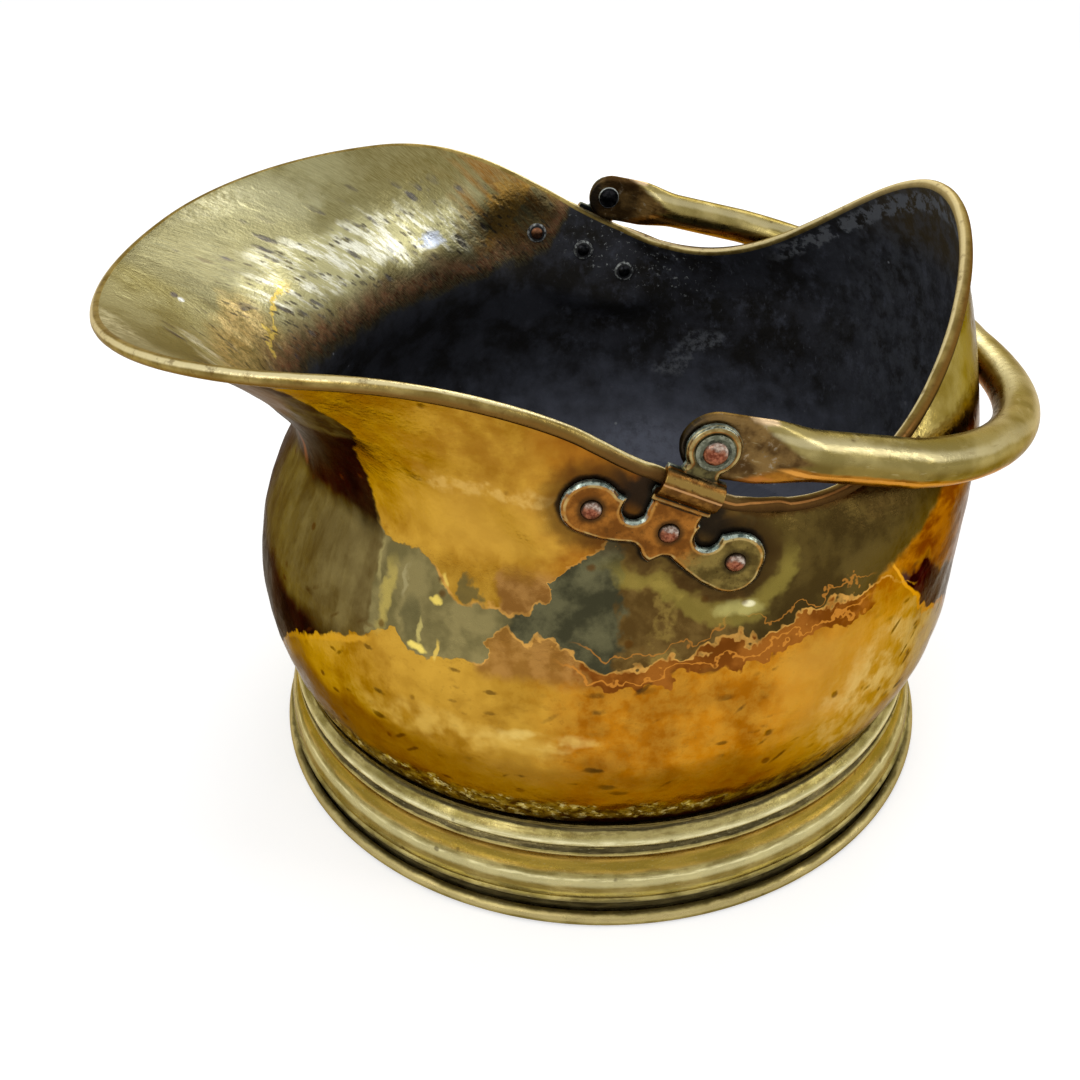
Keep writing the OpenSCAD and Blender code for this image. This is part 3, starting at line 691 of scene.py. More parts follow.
class Nodes:
    """A node tree and the one way to add a node to it: its type, its settings, then its sockets."""

    def __init__(self, tree):
        self.tree = tree

    def feed(self, socket, value):
        if isinstance(value, Value):
            self.tree.links.new(value.socket, socket)
        else:
            socket.default_value = value

    def node(self, kind, settings=None, inputs=None, out=0):
        made = self.tree.nodes.new("ShaderNode" + kind)
        for key, value in (settings or {}).items():
            if key == "stops":
                ramp = made.color_ramp.elements
                for _ in value[2:]:
                    ramp.new(1.0)
                for stop, (position, colour) in zip(ramp, value):
                    stop.position, stop.color = position, colour
            else:
                setattr(made, key, value)
        for key, value in (inputs or {}).items():
            self.feed(made.inputs[key], value)
        return Value(self, made.outputs[out])


def linear(colour):
    """A plain colour, three parts of 0 to 255 as it looks, made linear as a shader takes it."""
    if isinstance(colour, Value) or len(colour) == 4:
        return colour
    return (*(((c / 255 + 0.055) / 1.055) ** 2.4 for c in colour), 1.0)


class Finish(Nodes):
    """A material with one Principled shader, and short ways to add the patterns that feed it."""

    def __init__(self, name, grazing=(1, 1, 1)):
        self.material = bpy.data.materials.new(name)
        self.material.use_nodes = True
        super().__init__(self.material.node_tree)
        self.shader = self.tree.nodes["Principled BSDF"]
        self.shader.inputs["Specular Tint"].default_value = (*grazing, 1)
        self.place = self.node("TexCoord", out="Object")

    def mark(self, name):
        """A number that the mesh keeps at each of its points."""
        return self.node("Attribute", {"attribute_name": name}, out="Fac")

    def place_on(self, axis):
        """Where the surface is along an axis, in millimetres."""
        return self.node("SeparateXYZ", None, {0: self.place}, axis) * (1 / MM)

    def laid(self, across, up):
        """A place on the surface from two numbers in millimetres, for a pattern that follows it."""
        return self.node("CombineXYZ", None, {0: across * MM, 1: up * MM})

    def noise(self, size, detail=3, rough=0.55, at=None):
        """Noise round 0.5 whose lumps are about that many millimetres across."""
        return self.node("TexNoise", None, {
            "Vector": at or self.place, "Scale": 1 / (size * MM), "Detail": detail, "Roughness": rough})

    def clouds(self, size, detail=3, rough=0.55, at=None, low=0.38, high=0.62):
        """Noise with more of its range used: 0 and 1 are both common."""
        return self.step(self.noise(size, detail, rough, at), low, high)

    def specks(self, size, reach, thin=0.5, at=None):
        """1 in scattered specks: one to a cell of that size, reach of it wide, in some of the cells."""
        cells = {"Vector": at or self.place, "Scale": 1 / (size * MM)}
        far = self.node("TexVoronoi", None, cells, "Distance") + self.noise(size * 0.4) * reach
        chosen = self.node("SeparateColor", None, {0: self.node("TexVoronoi", None, cells, "Color")}, 0)
        return self.step(far, reach * 1.5, reach * 0.9) * self.step(chosen, thin, thin + 0.05)

    def step(self, value, low, high):
        """0 at low and 1 at high, eased between them; low may be the larger."""
        return self.node("MapRange", {"interpolation_type": "SMOOTHSTEP"},
                         {"Value": value, "From Min": low, "From Max": high})

    def band(self, value, low, high, fade):
        """1 between low and high, easing to 0 outside them."""
        return self.step(value, low - fade, low) * self.step(value, high + fade, high)

    def line(self, value, half):
        """1 where the value is 0, easing to 0 that far to both sides."""
        return self.step(abs(value), half, half * 0.3)

    def edge(self, along, *corners):
        """A boundary, straight between its corners: how high it is at each place along it."""
        stops = [(t / RAMP_LONG, (h / RAMP_TOP, h / RAMP_TOP, h / RAMP_TOP, 1)) for t, h in corners]
        return self.node("ValToRGB", {"stops": stops}, {0: along / RAMP_LONG}) * RAMP_TOP

    def mix(self, share, a, b):
        return self.node("Mix", {"data_type": "RGBA"}, {0: share, 6: linear(a), 7: linear(b)}, 2)

    def mottle(self, a, b, size, detail=3, rough=0.55, at=None):
        """One colour clouded with another."""
        return self.mix(self.clouds(size, detail, rough, at), a, b)

    def coats(self, colour, *laid):
        """Lays coats on a colour one by one: the share that each covers, and its own colour."""
        for share, coat in laid:
            colour = self.mix(share, colour, coat)
        return colour

    def oval(self, turn, rise, middle, half, soft=0.4):
        """1 in an oval round a place on the bowl, given in degrees and millimetres."""
        dx, dy = (turn - middle[0]) / half[0], (rise - middle[1]) / half[1]
        return self.step(dx * dx + dy * dy, 1 + soft, 1 - soft)

    def made(self, colour, roughness, metallic=1.0, relief=None, depth=0.3):
        """Sets what the surface shows; relief is a height from 0 to 1, worth depth millimetres."""
        self.feed(self.shader.inputs["Base Color"], colour)
        self.feed(self.shader.inputs["Roughness"], roughness)
        self.feed(self.shader.inputs["Metallic"], metallic)
        if relief is not None:
            bump = self.node("Bump", None, {"Height": relief, "Distance": depth * MM}, "Normal")
            self.feed(self.shader.inputs["Normal"], bump)
        return self.material


def bowl_outside():
    """Polished brass with painted reflections in ragged patches, placed by degrees from the back and
    height.
    """
    f = Finish("bowl_outside", (0.42, 0.36, 0.28))
    turn, rise, below_rim, by_bracket = map(f.mark, ("turn", "rise", "below_rim", "by_bracket"))
    lumps, frays = f.noise(17, 2) - 0.5, f.noise(5.5, 2, 0.5) - 0.5
    other = f.noise(12, 3, 0.6, f.laid(rise * 1.3 + 70, turn * 3)) - 0.5
    calm = f.step(turn, 99, 108)
    ragged = rise + lumps * (18 - calm * 13) + frays * (11 - calm * 5)
    wavy = turn + other * (8 - calm * 5) + frays * (4 - calm * 2)
    neat = turn + frays * 2.5
    girth, streaks = f.laid(turn * 1.6, rise), f.laid(turn * 2.7, rise * 0.25)
    low_rise = f.laid(turn * 1.3, rise * 1.2)

    # where the patches are
    top = f.edge(wavy, (44, 186), (60, 190), (66, 205), (88, 200), (92, 182), (97, 174), (100.8, 167.6),
                 (102.3, 157), (104.5, 151.7), (107.4, 148.8), (109.5, 152.9), (114.5, 149.6),
                 (118.2, 156.5), (121.2, 162.6), (127.7, 163.6), (131, 165))
    foot = f.edge(wavy, (30, 118), (48, 136), (58, 147), (66, 146), (74, 141), (84, 137), (94, 132.5),
                  (100.6, 137), (103.2, 144), (105.1, 141), (107.5, 146), (109.5, 142), (111.2, 131),
                  (117, 129), (121, 128), (123.4, 129), (124.5, 134.6), (128, 131.5), (130, 127))
    below_top, above_foot = top - ragged, ragged - foot
    olive_side = f.step(turn + (rise - 150) * 0.68 + frays * 5 + lumps * 4, 53.5, 57)
    in_band = f.step(below_top, -0.5, 0.5) * f.step(above_foot, -0.5, 0.5) * olive_side
    side_edge = f.edge(rise - 100, (25, 130), (60, 130), (67, 131), (73, 132.1), (94, 132.4), (108, 129),
                       (114, 128), (119, 130), (127, 131.1), (134, 133))
    under_spout = f.edge(neat, (129, 128), (134, 122), (141, 114), (151, 99), (157, 80), (160, 47))
    left = f.step(neat - side_edge, -0.3, 0.6) * f.step(rise - under_spout + frays * 7, -0.6, 0.6)
    under_flare = left * f.step(rise + lumps * 12, 159, 169)
    stripe_low = f.edge(neat, (24, 88), (34, 104), (40, 113), (46, 123), (51, 139), (54, 152))
    stripe_top = f.edge(neat, (24, 106), (30, 117), (36, 129), (41, 136), (45, 143), (51, 146))
    stripe = (f.step(ragged - stripe_low, -1, 1.5) * f.step(stripe_top - ragged, -2, 3)
              * f.band(turn, 18, 51, 5))
    crumpled = f.step(rise + lumps * 12 + frays * 8, 67, 62)
    on_belly = f.band(rise, 64, 128, 7)

    # colours that cover most, painted reflections of the surroundings
    gold = f.mottle((150, 106, 26), (184, 140, 48), 30, 4)
    orange = f.mottle((148, 88, 8), (182, 116, 18), 22, 4)
    pale = f.mottle((188, 144, 66), (220, 188, 116), 9, 4)
    khaki = f.mix(f.clouds(12, 5, 0.6, streaks) * 0.5 + f.clouds(18, 4) * 0.5, (90, 74, 40), (126, 111, 68))
    umber = f.mottle((34, 25, 16), (52, 39, 25), 24, 4)
    slate = f.mottle((60, 58, 40), (96, 92, 64), 14, 5, 0.6)
    olive = f.mottle((62, 48, 21), (86, 70, 33), 16, 5)
    brown = f.mottle((84, 62, 28), (108, 84, 42), 9, 4)
    sage = f.mottle((108, 98, 60), (136, 123, 78), 14, 3)
    russet = f.mottle((108, 58, 14), (144, 86, 28), 12)
    amber = f.mottle((130, 88, 38), (158, 114, 58), 7, 4)
    fringe, bright = (202, 150, 72), (222, 188, 88)

    belly = (
        (f.clouds(8, 5, 0.65) * 0.28, (210, 164, 62)),
        (f.clouds(6, 5, 0.7, girth, 0.54, 0.72) * 0.3, (120, 78, 16)),
        (f.clouds(2, 3, 0.7, low=0.56, high=0.72) * 0.25, (112, 72, 16)),
        (f.step(wavy, 106, 96) * f.step(ragged, 158, 168), f.mottle((122, 70, 18), (160, 102, 28), 16, 4)),
        (f.step(wavy, 101, 88) * f.step(ragged, 182, 200), (110, 62, 18)),
        (f.band(rise + lumps * 22, 64, 84, 12) * f.band(turn, 66, 150, 12) * 0.65, (118, 78, 20)),
        # two pale smudges low on the belly: painted highlights
        (f.oval(wavy, rise + lumps * 16, (118, 99), (15, 7), 0.9) * f.clouds(15, 3) * 0.7, (210, 172, 82)),
        (f.oval(wavy, rise + lumps * 16, (104, 102), (7, 4), 0.9) * f.clouds(12, 3) * 0.6, (226, 196, 110)),
        (f.oval(wavy, ragged, (112, 185), (14, 16), 0.8) * 0.5, (204, 158, 62)),
        (f.step(rise + lumps * 20, 176, 214) * f.clouds(11, 4, 0.6) * 0.5, (142, 92, 24)),
        (f.line(ragged - 196 + other * 10, 4) * f.band(turn, 103, 121, 4) * f.clouds(5, 4) * 0.4,
         (222, 184, 104)),
        (f.band(turn + lumps * 10, 44, 66, 10) * f.step(rise, 144, 126) * 0.6, (192, 144, 56)),
        # two pale ovals low towards the back: painted reflection
        (f.oval(wavy, ragged, (46, 86), (18, 38), 0.6) * 0.85, pale),
        (f.oval(wavy, ragged, (36, 92), (9, 18), 0.8) * 0.6, (226, 206, 158)),
        (f.step(turn, 58, 50) * f.step(ragged - stripe_top, -2, 4),
         f.mottle((120, 70, 16), (172, 112, 38), 9, 4, 0.6, girth)),
        (f.step(wavy, 56, 44) * f.step(rise, 172, 192), f.mottle((132, 112, 48), (168, 150, 86), 22)),
        (stripe, f.mottle((44, 30, 34), (78, 58, 60), 12)),
        (f.line(ragged - stripe_low, 2.2) * f.band(turn, 28, 52, 6), (222, 158, 52)))
    band = (
        (in_band, slate),
        (in_band * f.band(wavy, 77, 92, 1.5), brown),
        (in_band * f.step(wavy, 79, 75), olive),
        (in_band * f.band(wavy, 86.2, 88.2, 1) * f.clouds(5, 4, 0.6) * 0.7, (140, 116, 56)),
        (in_band * f.band(turn + other * 10, 110, 134, 5), sage),
        (f.step(above_foot, 0.4, -0.5) * f.band(wavy, 95, 111, 1.5) * f.step(rise + frays * 6, 124, 130)
         * 0.85, amber),
        (f.step(below_top, 0.4, -0.5) * f.band(wavy, 101.5, 109, 1) * f.step(rise + frays * 5, 170, 160),
         amber),
        (in_band * f.oval(turn + frays * 3, rise, (122.5, 140), (1.6, 8), 0.6) * 0.6, (88, 82, 52)),
        (f.oval(turn + other * 8, rise + frays * 9, (113.5, 155), (1.2, 5), 0.5) * 0.8, (92, 86, 52)),
        # streaks and spots of painted highlight, from here to the fringe lines
        (f.oval(turn + (rise - 144) * 0.04 + frays * 3.5, rise, (127.3, 144), (1.1, 12), 0.9) * 0.8,
         (182, 162, 84)),
        (f.line(turn - (rise - 160) * 0.07 - 130.2 + frays * 2, 0.7) * f.band(rise, 150, 160, 3) * 0.6,
         (168, 154, 98)),
        (f.oval(turn + frays * 3, rise, (124.2, 152), (0.5, 5), 0.9) * 0.5, (176, 164, 118)),
        (f.oval(turn + frays * 3, rise + frays * 5, (118.7, 149.5), (0.7, 1.7), 0.9), (228, 202, 98)),
        (f.oval(turn + frays * 3, rise, (117.8, 156.4), (0.6, 2.2), 0.9), bright),
        (f.oval(turn + frays * 4, rise + frays * 5, (120.9, 130.4), (1.2, 1.6), 0.9), (230, 206, 104)),
        (f.oval(turn + frays * 2.5, rise, (120.8, 137), (0.4, 4.5), 0.9) * 0.7, (196, 180, 106)),
        (f.oval(turn + frays * 2.5, rise, (117.9, 131.5), (0.4, 3.6), 0.9) * 0.8, bright),
        (f.line(below_top + 0.4, 1.0) * f.band(turn, 88, 118, 4) * (0.25 + f.clouds(7, 3) * 0.6), fringe),
        (f.band(above_foot, -8.5, -0.5, 0.8) * f.band(wavy, 58, 97, 1.5), russet),
        (f.line(above_foot, 1.0) * f.band(turn, 50, 111, 3) * (0.3 + f.clouds(7, 3) * 0.6), fringe),
        (f.line(above_foot + 5 + other * 12, 0.8) * f.band(turn, 60, 98, 4) * 0.8, (190, 124, 46)),
        (f.line(above_foot - 5 + other * 14, 0.8) * f.band(turn, 60, 96, 4) * 0.7, (176, 116, 46)),
        # a curved band under the bracket and a white spot: painted highlights
        (f.band(by_bracket + frays * 8, 7.5, 11.5, 3) * f.step(rise, 176, 162) * f.band(turn, 68, 92, 6)
         * 0.55, (146, 130, 58)),
        (f.oval(turn + other * 6, rise + frays * 4, (77, 149), (3, 2.6), 0.9) * 0.8, (186, 176, 104)),
        (f.oval(turn, rise, (75.6, 150), (0.8, 1.1), 0.8), (252, 244, 196)))
    under = (
        # under the spout: khaki and umber painted reflections, painted shade under the flare, and pinkish
        # painted highlights on the flare and in the neck crease
        (left, khaki),
        (left * f.step(rise - turn * 0.3 + lumps * 20, 84, 70), umber),
        (left * f.step(turn + lumps * 8, 166, 176), (62, 44, 24)),
        (f.line(under_spout - rise - 1.5, 2) * f.step(turn, 128, 131) * 0.7, (204, 152, 48)),
        (under_flare, umber),
        (under_flare * f.band(rise + lumps * 8 + (turn - 132) * 0.5, 207, 226, 3) * f.step(turn, 146, 138)
         * 0.9, f.mottle((70, 58, 36), (112, 98, 66), 8, 4, 0.6, girth)),
        (under_flare * f.oval(turn + rise * 0.35, rise, (217, 217), (4, 14), 0.7) * f.step(turn, 130, 136)
         * 0.7, (140, 112, 98)),
        (f.oval(turn + frays * 3, rise, (158, 175), (1.4, 9), 0.9) * 0.6, (182, 112, 84)))
    base = (
        # crumpled sheet above the foot: mottled painted reflection with painted highlights on its crumples
        (crumpled, f.mottle((84, 62, 20), (160, 132, 54), 5, 4, 0.65)),
        (crumpled * f.clouds(4.5, 4, 0.7, low=0.52, high=0.6) * f.band(turn, 84, 140, 10),
         f.mottle((206, 184, 92), (232, 218, 156), 3)),
        (f.step(rise + frays * 6, 57, 52) * f.step(turn, 112, 96), (46, 30, 14)),
        (f.step(rise + frays * 3, 50.5, 48.5), (34, 26, 14)))
    pits = f.specks(13, 0.17, 0.5)
    marks = (
        (pits * f.step(rise, 60, 66) * 0.7, (84, 52, 14)),
        (f.specks(9, 0.26, 0.35, low_rise) * f.clouds(20, 2) * on_belly * 0.8, (62, 42, 16)),
        (f.specks(5, 0.3, 0.5, low_rise) * f.clouds(26, 2, low=0.5, high=0.62) * on_belly * 0.7,
         (78, 52, 16)),
        (f.specks(8, 0.2, 0.7, f.laid(turn * 2.2 + rise * 0.9, rise * 0.5)) * on_belly * 0.7, (70, 46, 18)),
        # painted shade round the brackets: a soft brown ring, a dark edge where they meet the wall, and a
        # dark patch under the rim beside them
        (f.step(by_bracket + frays * 6, 10, 3) * 0.6, (58, 40, 20)),
        (f.step(by_bracket + frays * 2, 2.2, 0.8) * 0.9, (24, 20, 16)),
        (f.step(by_bracket + frays * 3, 7.5, 4.5) * f.step(below_rim, 21, 14) * f.band(turn, 80, 91, 5)
         * 0.9, (32, 27, 21)),
        (f.step(below_rim + frays * 3, 4.5, 2.5) * 0.8, (66, 44, 18)))
    colour = f.coats(f.mix(f.step(wavy, 97, 106), orange, gold), *belly, *band, *under, *base, *marks)
    roughness = (0.17 + in_band * 0.08 + left * 0.14 + crumpled * 0.1 + f.clouds(4, 4, 0.7) * 0.08
                 + f.step(by_bracket, 8, 2) * 0.25)
    relief = (f.noise(8, 2) * 0.6 + f.clouds(1.6, 3) * 0.05 - pits * 0.25
              + f.noise(0.7, 2, at=f.laid(turn * 0.25, rise)) * 0.04)
    return f.made(colour, roughness, relief=relief, depth=0.5)


def bowl_inside():
    """Soot-black inside; the spout's is bare rubbed brass, pitted and scratched, with painted highlights;
    and the rolled rim.
    """
    f = Finish("bowl_inside", (0.7, 0.6, 0.45))
    turn, rise, below_rim, swept = map(f.mark, ("turn", "rise", "below_rim", "swept"))
    rolled = f.step(swept, 0.5, 4)
    lumps, frays = f.noise(14, 3) - 0.5, f.noise(4, 4, 0.6) - 0.5
    ragged, wavy = rise + lumps * 12 + frays * 6, turn + lumps * 10 + frays * 5
    slant = turn * 2.8 - rise * 0.9
    run = f.laid(slant, rise * 0.12)
    scratches, hairs = f.clouds(1.3, 4, 0.65, run), f.clouds(0.45, 2, 0.6, run)

    black_edge = f.edge(turn, (78, 260), (86, 222), (90, 198), (94, 182), (99, 176), (110, 171), (130, 168),
                        (150, 166), (166, 169), (180, 175))
    far_edge = f.edge(turn, (155, 203.5), (162, 201.3), (167.5, 199.2), (173, 195.4), (180, 190))
    bare = f.step(ragged - black_edge, 0, 7)
    rust = f.step(ragged - black_edge, 25, 11)
    soot = f.mottle((11, 13, 16), (42, 45, 53), 20, 6, 0.65)
    khaki = f.mottle((121, 114, 74), (152, 147, 108), 24, 4)
    # a painted highlight along the spout's crease
    fold_highlight = f.band(wavy, 120, 162, 10) * f.band(rise + lumps * 22, 197, 210, 8)
    leaning = f.laid(slant, rise * 0.75)
    pits = f.specks(7, 0.42, 0.4, leaning) * f.clouds(20, 2, low=0.38, high=0.5)
    small_pits = f.specks(3.4, 0.44, 0.3, leaning) * f.clouds(16, 2, low=0.42, high=0.52)
    across = f.place_on("Y")
    rubbed = (f.step(wavy, 154, 164) * f.step(ragged, 213, 206)
              * (1 - f.step(across, -4, 4) * f.step(turn, 174, 168))) * f.step(ragged, 184, 190) * 0.9
    grey = (110, 114, 120)

    dark = f.coats(
        soot,
        (f.step(rise + lumps * 80, 130, 40) * 0.8, (104, 109, 124)),
        (f.clouds(10, 6, 0.72, f.laid(turn * 2.6, rise * 0.7), 0.5, 0.72) * f.step(turn, 125, 70) * 0.7,
         (76, 80, 92)),
        (f.clouds(2.6, 4, 0.7, f.laid(turn * 2.8, rise * 0.35), 0.6, 0.74) * f.step(turn, 120, 60) * 0.5,
         (104, 108, 116)),
        (f.step(turn, 28, 12) * f.step(ragged, 206, 222), (52, 43, 24)),
        (f.band(below_rim + frays * 8, 3, 9, 2.5) * f.step(turn, 48, 38)
         * f.clouds(7, 5, 0.7, low=0.45, high=0.55), grey),
        (f.band(wavy + (rise - 120) * 0.25, 61, 66, 1.5) * f.band(rise, 104, 130, 5) * f.clouds(4, 5, 0.7)
         * 0.7, grey),
        (f.band(turn, 62, 88, 6) * f.step(below_rim, 34, 22) * f.clouds(2.6, 4, 0.7, low=0.6, high=0.66),
         (136, 140, 140)),
        (f.oval(wavy, rise, (72, 56), (10, 15), 0.9) * f.clouds(6, 4, 0.65, low=0.3, high=0.62) * 0.8,
         (112, 118, 134)),
        (f.step(turn, 42, 18) * f.clouds(7, 5, 0.7, low=0.4, high=0.62) * 0.5, (72, 76, 84)),
        (f.specks(15, 0.08, 0.6), (140, 144, 150)))
    brass = f.coats(
        khaki,
        (f.step(wavy, 140, 120) * f.step(ragged, 214, 232) * 0.7, (112, 98, 50)),
        (fold_highlight * 0.75, (190, 185, 138)),
        (fold_highlight * f.clouds(7, 5, 0.7, f.laid(slant, rise * 0.4), 0.46, 0.6), (240, 239, 220)),
        # a pale patch near the rim: painted highlight
        (f.oval(wavy, rise, (155, 234), (8, 4), 0.8) * f.clouds(4, 4, 0.7) * 0.85, (224, 218, 178)),
        (f.step(wavy, 117, 109) * f.clouds(8, 4, 0.6, run), (140, 96, 38)),
        (f.band(wavy + (rise - 200) * 0.12, 101, 107, 1.5) * f.band(ragged, 184, 220, 5) * 0.85,
         (182, 136, 54)),
        (f.step(wavy, 99, 91), f.mottle((88, 56, 26), (134, 94, 46), 7, 5, 0.65)),
        (f.step(across, -6, 10) * f.step(wavy, 150, 164) * f.step(ragged, 204, 214) * 0.75, (96, 96, 78)),
        (f.oval(wavy, ragged, (147, 231), (7, 8), 0.9) * 0.6, (176, 172, 136)),
        (rubbed, f.mottle((136, 120, 76), (212, 184, 126), 3.5, 5, 0.75)),
        (rust, f.mottle((76, 44, 30), (130, 84, 60), 8, 5, 0.65)),
        (rust * f.clouds(2.4, 4, 0.7, run, 0.56, 0.66) * 0.7, (34, 24, 22)),
        (f.line(ragged - far_edge, 1.1) * f.step(turn, 157, 162) * f.step(across, -2, 2), (226, 196, 96)),
        (f.step(ragged - black_edge, 10, 2), (28, 19, 13)),
        (pits * f.band(wavy, 112, 172, 8) * f.band(rise + lumps * 20, 184, 220, 8) * 0.9, (64, 62, 78)),
        (small_pits * f.band(wavy, 96, 176, 8) * f.band(rise, 176, 212, 8) * 0.85, (46, 40, 48)),
        (f.specks(12, 0.2, 0.5, leaning) * 0.85, (72, 64, 58)),
        # a painted highlight in a dent
        (f.oval(turn + frays * 6, rise, (121, 199), (2.6, 4), 0.7), (206, 216, 236)),
        (f.oval(across, rise, (-4, 220.8), (2.4, 0.9), 0.7) * f.step(turn, 150, 170), (72, 70, 84)),
        # a painted glint beside a pit
        (f.oval(across, rise, (-5, 219), (2, 0.8), 0.8) * f.step(turn, 150, 170), (222, 226, 226)),
        (scratches * 0.22, (98, 90, 52)),
        (hairs * 0.22, (192, 184, 134)))
    # rolled rim: painted highlights along its top and at the dip, an amber painted reflection line at the
    # dip, darker sides, and painted shade underneath
    bead = f.coats(
        f.mottle((118, 99, 50), (152, 132, 76), 10, 4),
        (f.band(swept + lumps * 24, 64, 88, 20) * 0.9, (226, 212, 162)),
        (f.step(swept + lumps * 24, 115, 165), (108, 78, 34)),
        (f.step(swept, 185, 215), (50, 36, 20)),
        (f.band(turn, 50, 92, 7) * f.step(swept + lumps * 12, 104, 122) * 0.75, (84, 58, 30)),
        (f.band(turn, 50, 82, 7) * f.band(swept + lumps * 10, 80, 96, 7) * 0.75, (232, 214, 172)),
        (f.band(turn, 50, 82, 7) * f.band(swept + lumps * 10, 158, 170, 6) * 0.6, (196, 140, 78)),
        (f.clouds(4, 4, 0.65, low=0.55, high=0.7) * 0.6, (92, 68, 30)),
        (f.step(turn, 40, 20) * f.step(swept, 130, 90) * 0.4, (206, 186, 136)))
    colour = f.mix(rolled, f.mix(bare, dark, brass), bead)
    metal = rolled + (1 - rolled) * bare
    roughness = 0.62 - bare * 0.32 - rolled * 0.02 + scratches * 0.06 + rust * bare * 0.2
    relief = f.noise(6, 3) * 0.5 + scratches * bare * 0.04 - pits * bare * 0.3 + f.clouds(1.5, 3) * 0.08
    return f.made(colour, roughness, metal, relief, 0.4)


def foot_brass():
    """Moulded foot: painted highlights on its swells, tarnished in its hollows."""
    f = Finish("foot_brass", (0.7, 0.58, 0.4))
    z = f.place_on("Z")
    along = f.node("Mapping", {"vector_type": "TEXTURE"}, {0: f.place, 3: (1, 1, 0.14)})
    rise = z + (f.noise(14, 4, 0.6) - 0.5) * 1.8
    olive = f.mottle((126, 114, 62), (166, 152, 96), 20, 4)
    dark = f.mottle((40, 34, 22), (78, 68, 44), 9, 4, at=along)
    colour = f.coats(
        olive,
        (f.clouds(7, 5, 0.7, along, 0.44, 0.64) * 0.45, (92, 72, 32)),
        # pale bands at 15 and 21–22.6 mm on the ovolo, 33–34 mm on the lip, 39–40.6 mm on the torus and
        # 3.6–5 mm by the lower edge: painted highlights
        (f.band(rise, 14.6, 15.8, 2) * f.clouds(18, 3, at=along) * 0.7, (206, 184, 92)),
        (f.band(rise, 20.6, 22, 2) * 0.6, (204, 194, 142)),
        (f.band(rise, 22.2, 22.6, 0.6) * f.clouds(9, 4, at=along) * 0.7, (232, 222, 168)),
        (f.band(rise, 17.4, 18.6, 1.5) * 0.4, (128, 102, 40)),
        (f.band(rise, 25.6, 32, 1.6) * 0.85, f.mottle((138, 108, 40), (180, 144, 62), 16, 4, at=along)),
        (f.band(rise, 26, 28, 1.2) * 0.6, (124, 106, 34)),
        (f.band(rise, 32.9, 33.9, 0.5) * 0.8, (196, 178, 114)),
        (f.band(rise, 35, 36.1, 0.4) * 0.9, dark),
        (f.band(rise, 39, 40.6, 1.6) * 0.7, (204, 194, 142)),
        (f.band(rise, 39.6, 40.4, 0.7) * f.clouds(9, 4, at=along) * 0.7, (236, 228, 182)),
        (f.band(rise, 43.8, 45, 0.5) * 0.9, dark),
        (f.step(rise, 45.2, 46) * 0.85, f.mottle((48, 38, 22), (116, 100, 54), 5, 5, 0.7, along)),
        (f.band(rise, 6.8, 11, 1.2) * 0.85, f.mottle((70, 64, 44), (124, 114, 78), 12, 5, 0.65, along)),
        (f.band(rise, 11.6, 12.4, 0.4) * 0.6, dark),
        (f.band(rise, 5.8, 6.5, 0.4) * 0.5, dark),
        (f.band(rise, 3.6, 5, 0.8) * 0.5, (196, 178, 124)),
        (f.step(rise, 1.8, 0.8), dark),
        (f.clouds(2.4, 4, 0.7, along, 0.58, 0.72) * 0.4, (70, 54, 28)),
        (f.clouds(1.8, 3, 0.7, along, 0.62, 0.72) * 0.35, (214, 204, 160)),
        (f.specks(8, 0.18, 0.7) * 0.6, (60, 46, 24)))
    roughness = 0.22 + f.clouds(7, 4) * 0.1 + f.band(rise, 5.6, 12.9, 1) * 0.15
    relief = f.noise(6, 3) * 0.5 + f.clouds(0.8, 2, at=along) * 0.05
    return f.made(colour, roughness, relief=relief, depth=0.3)


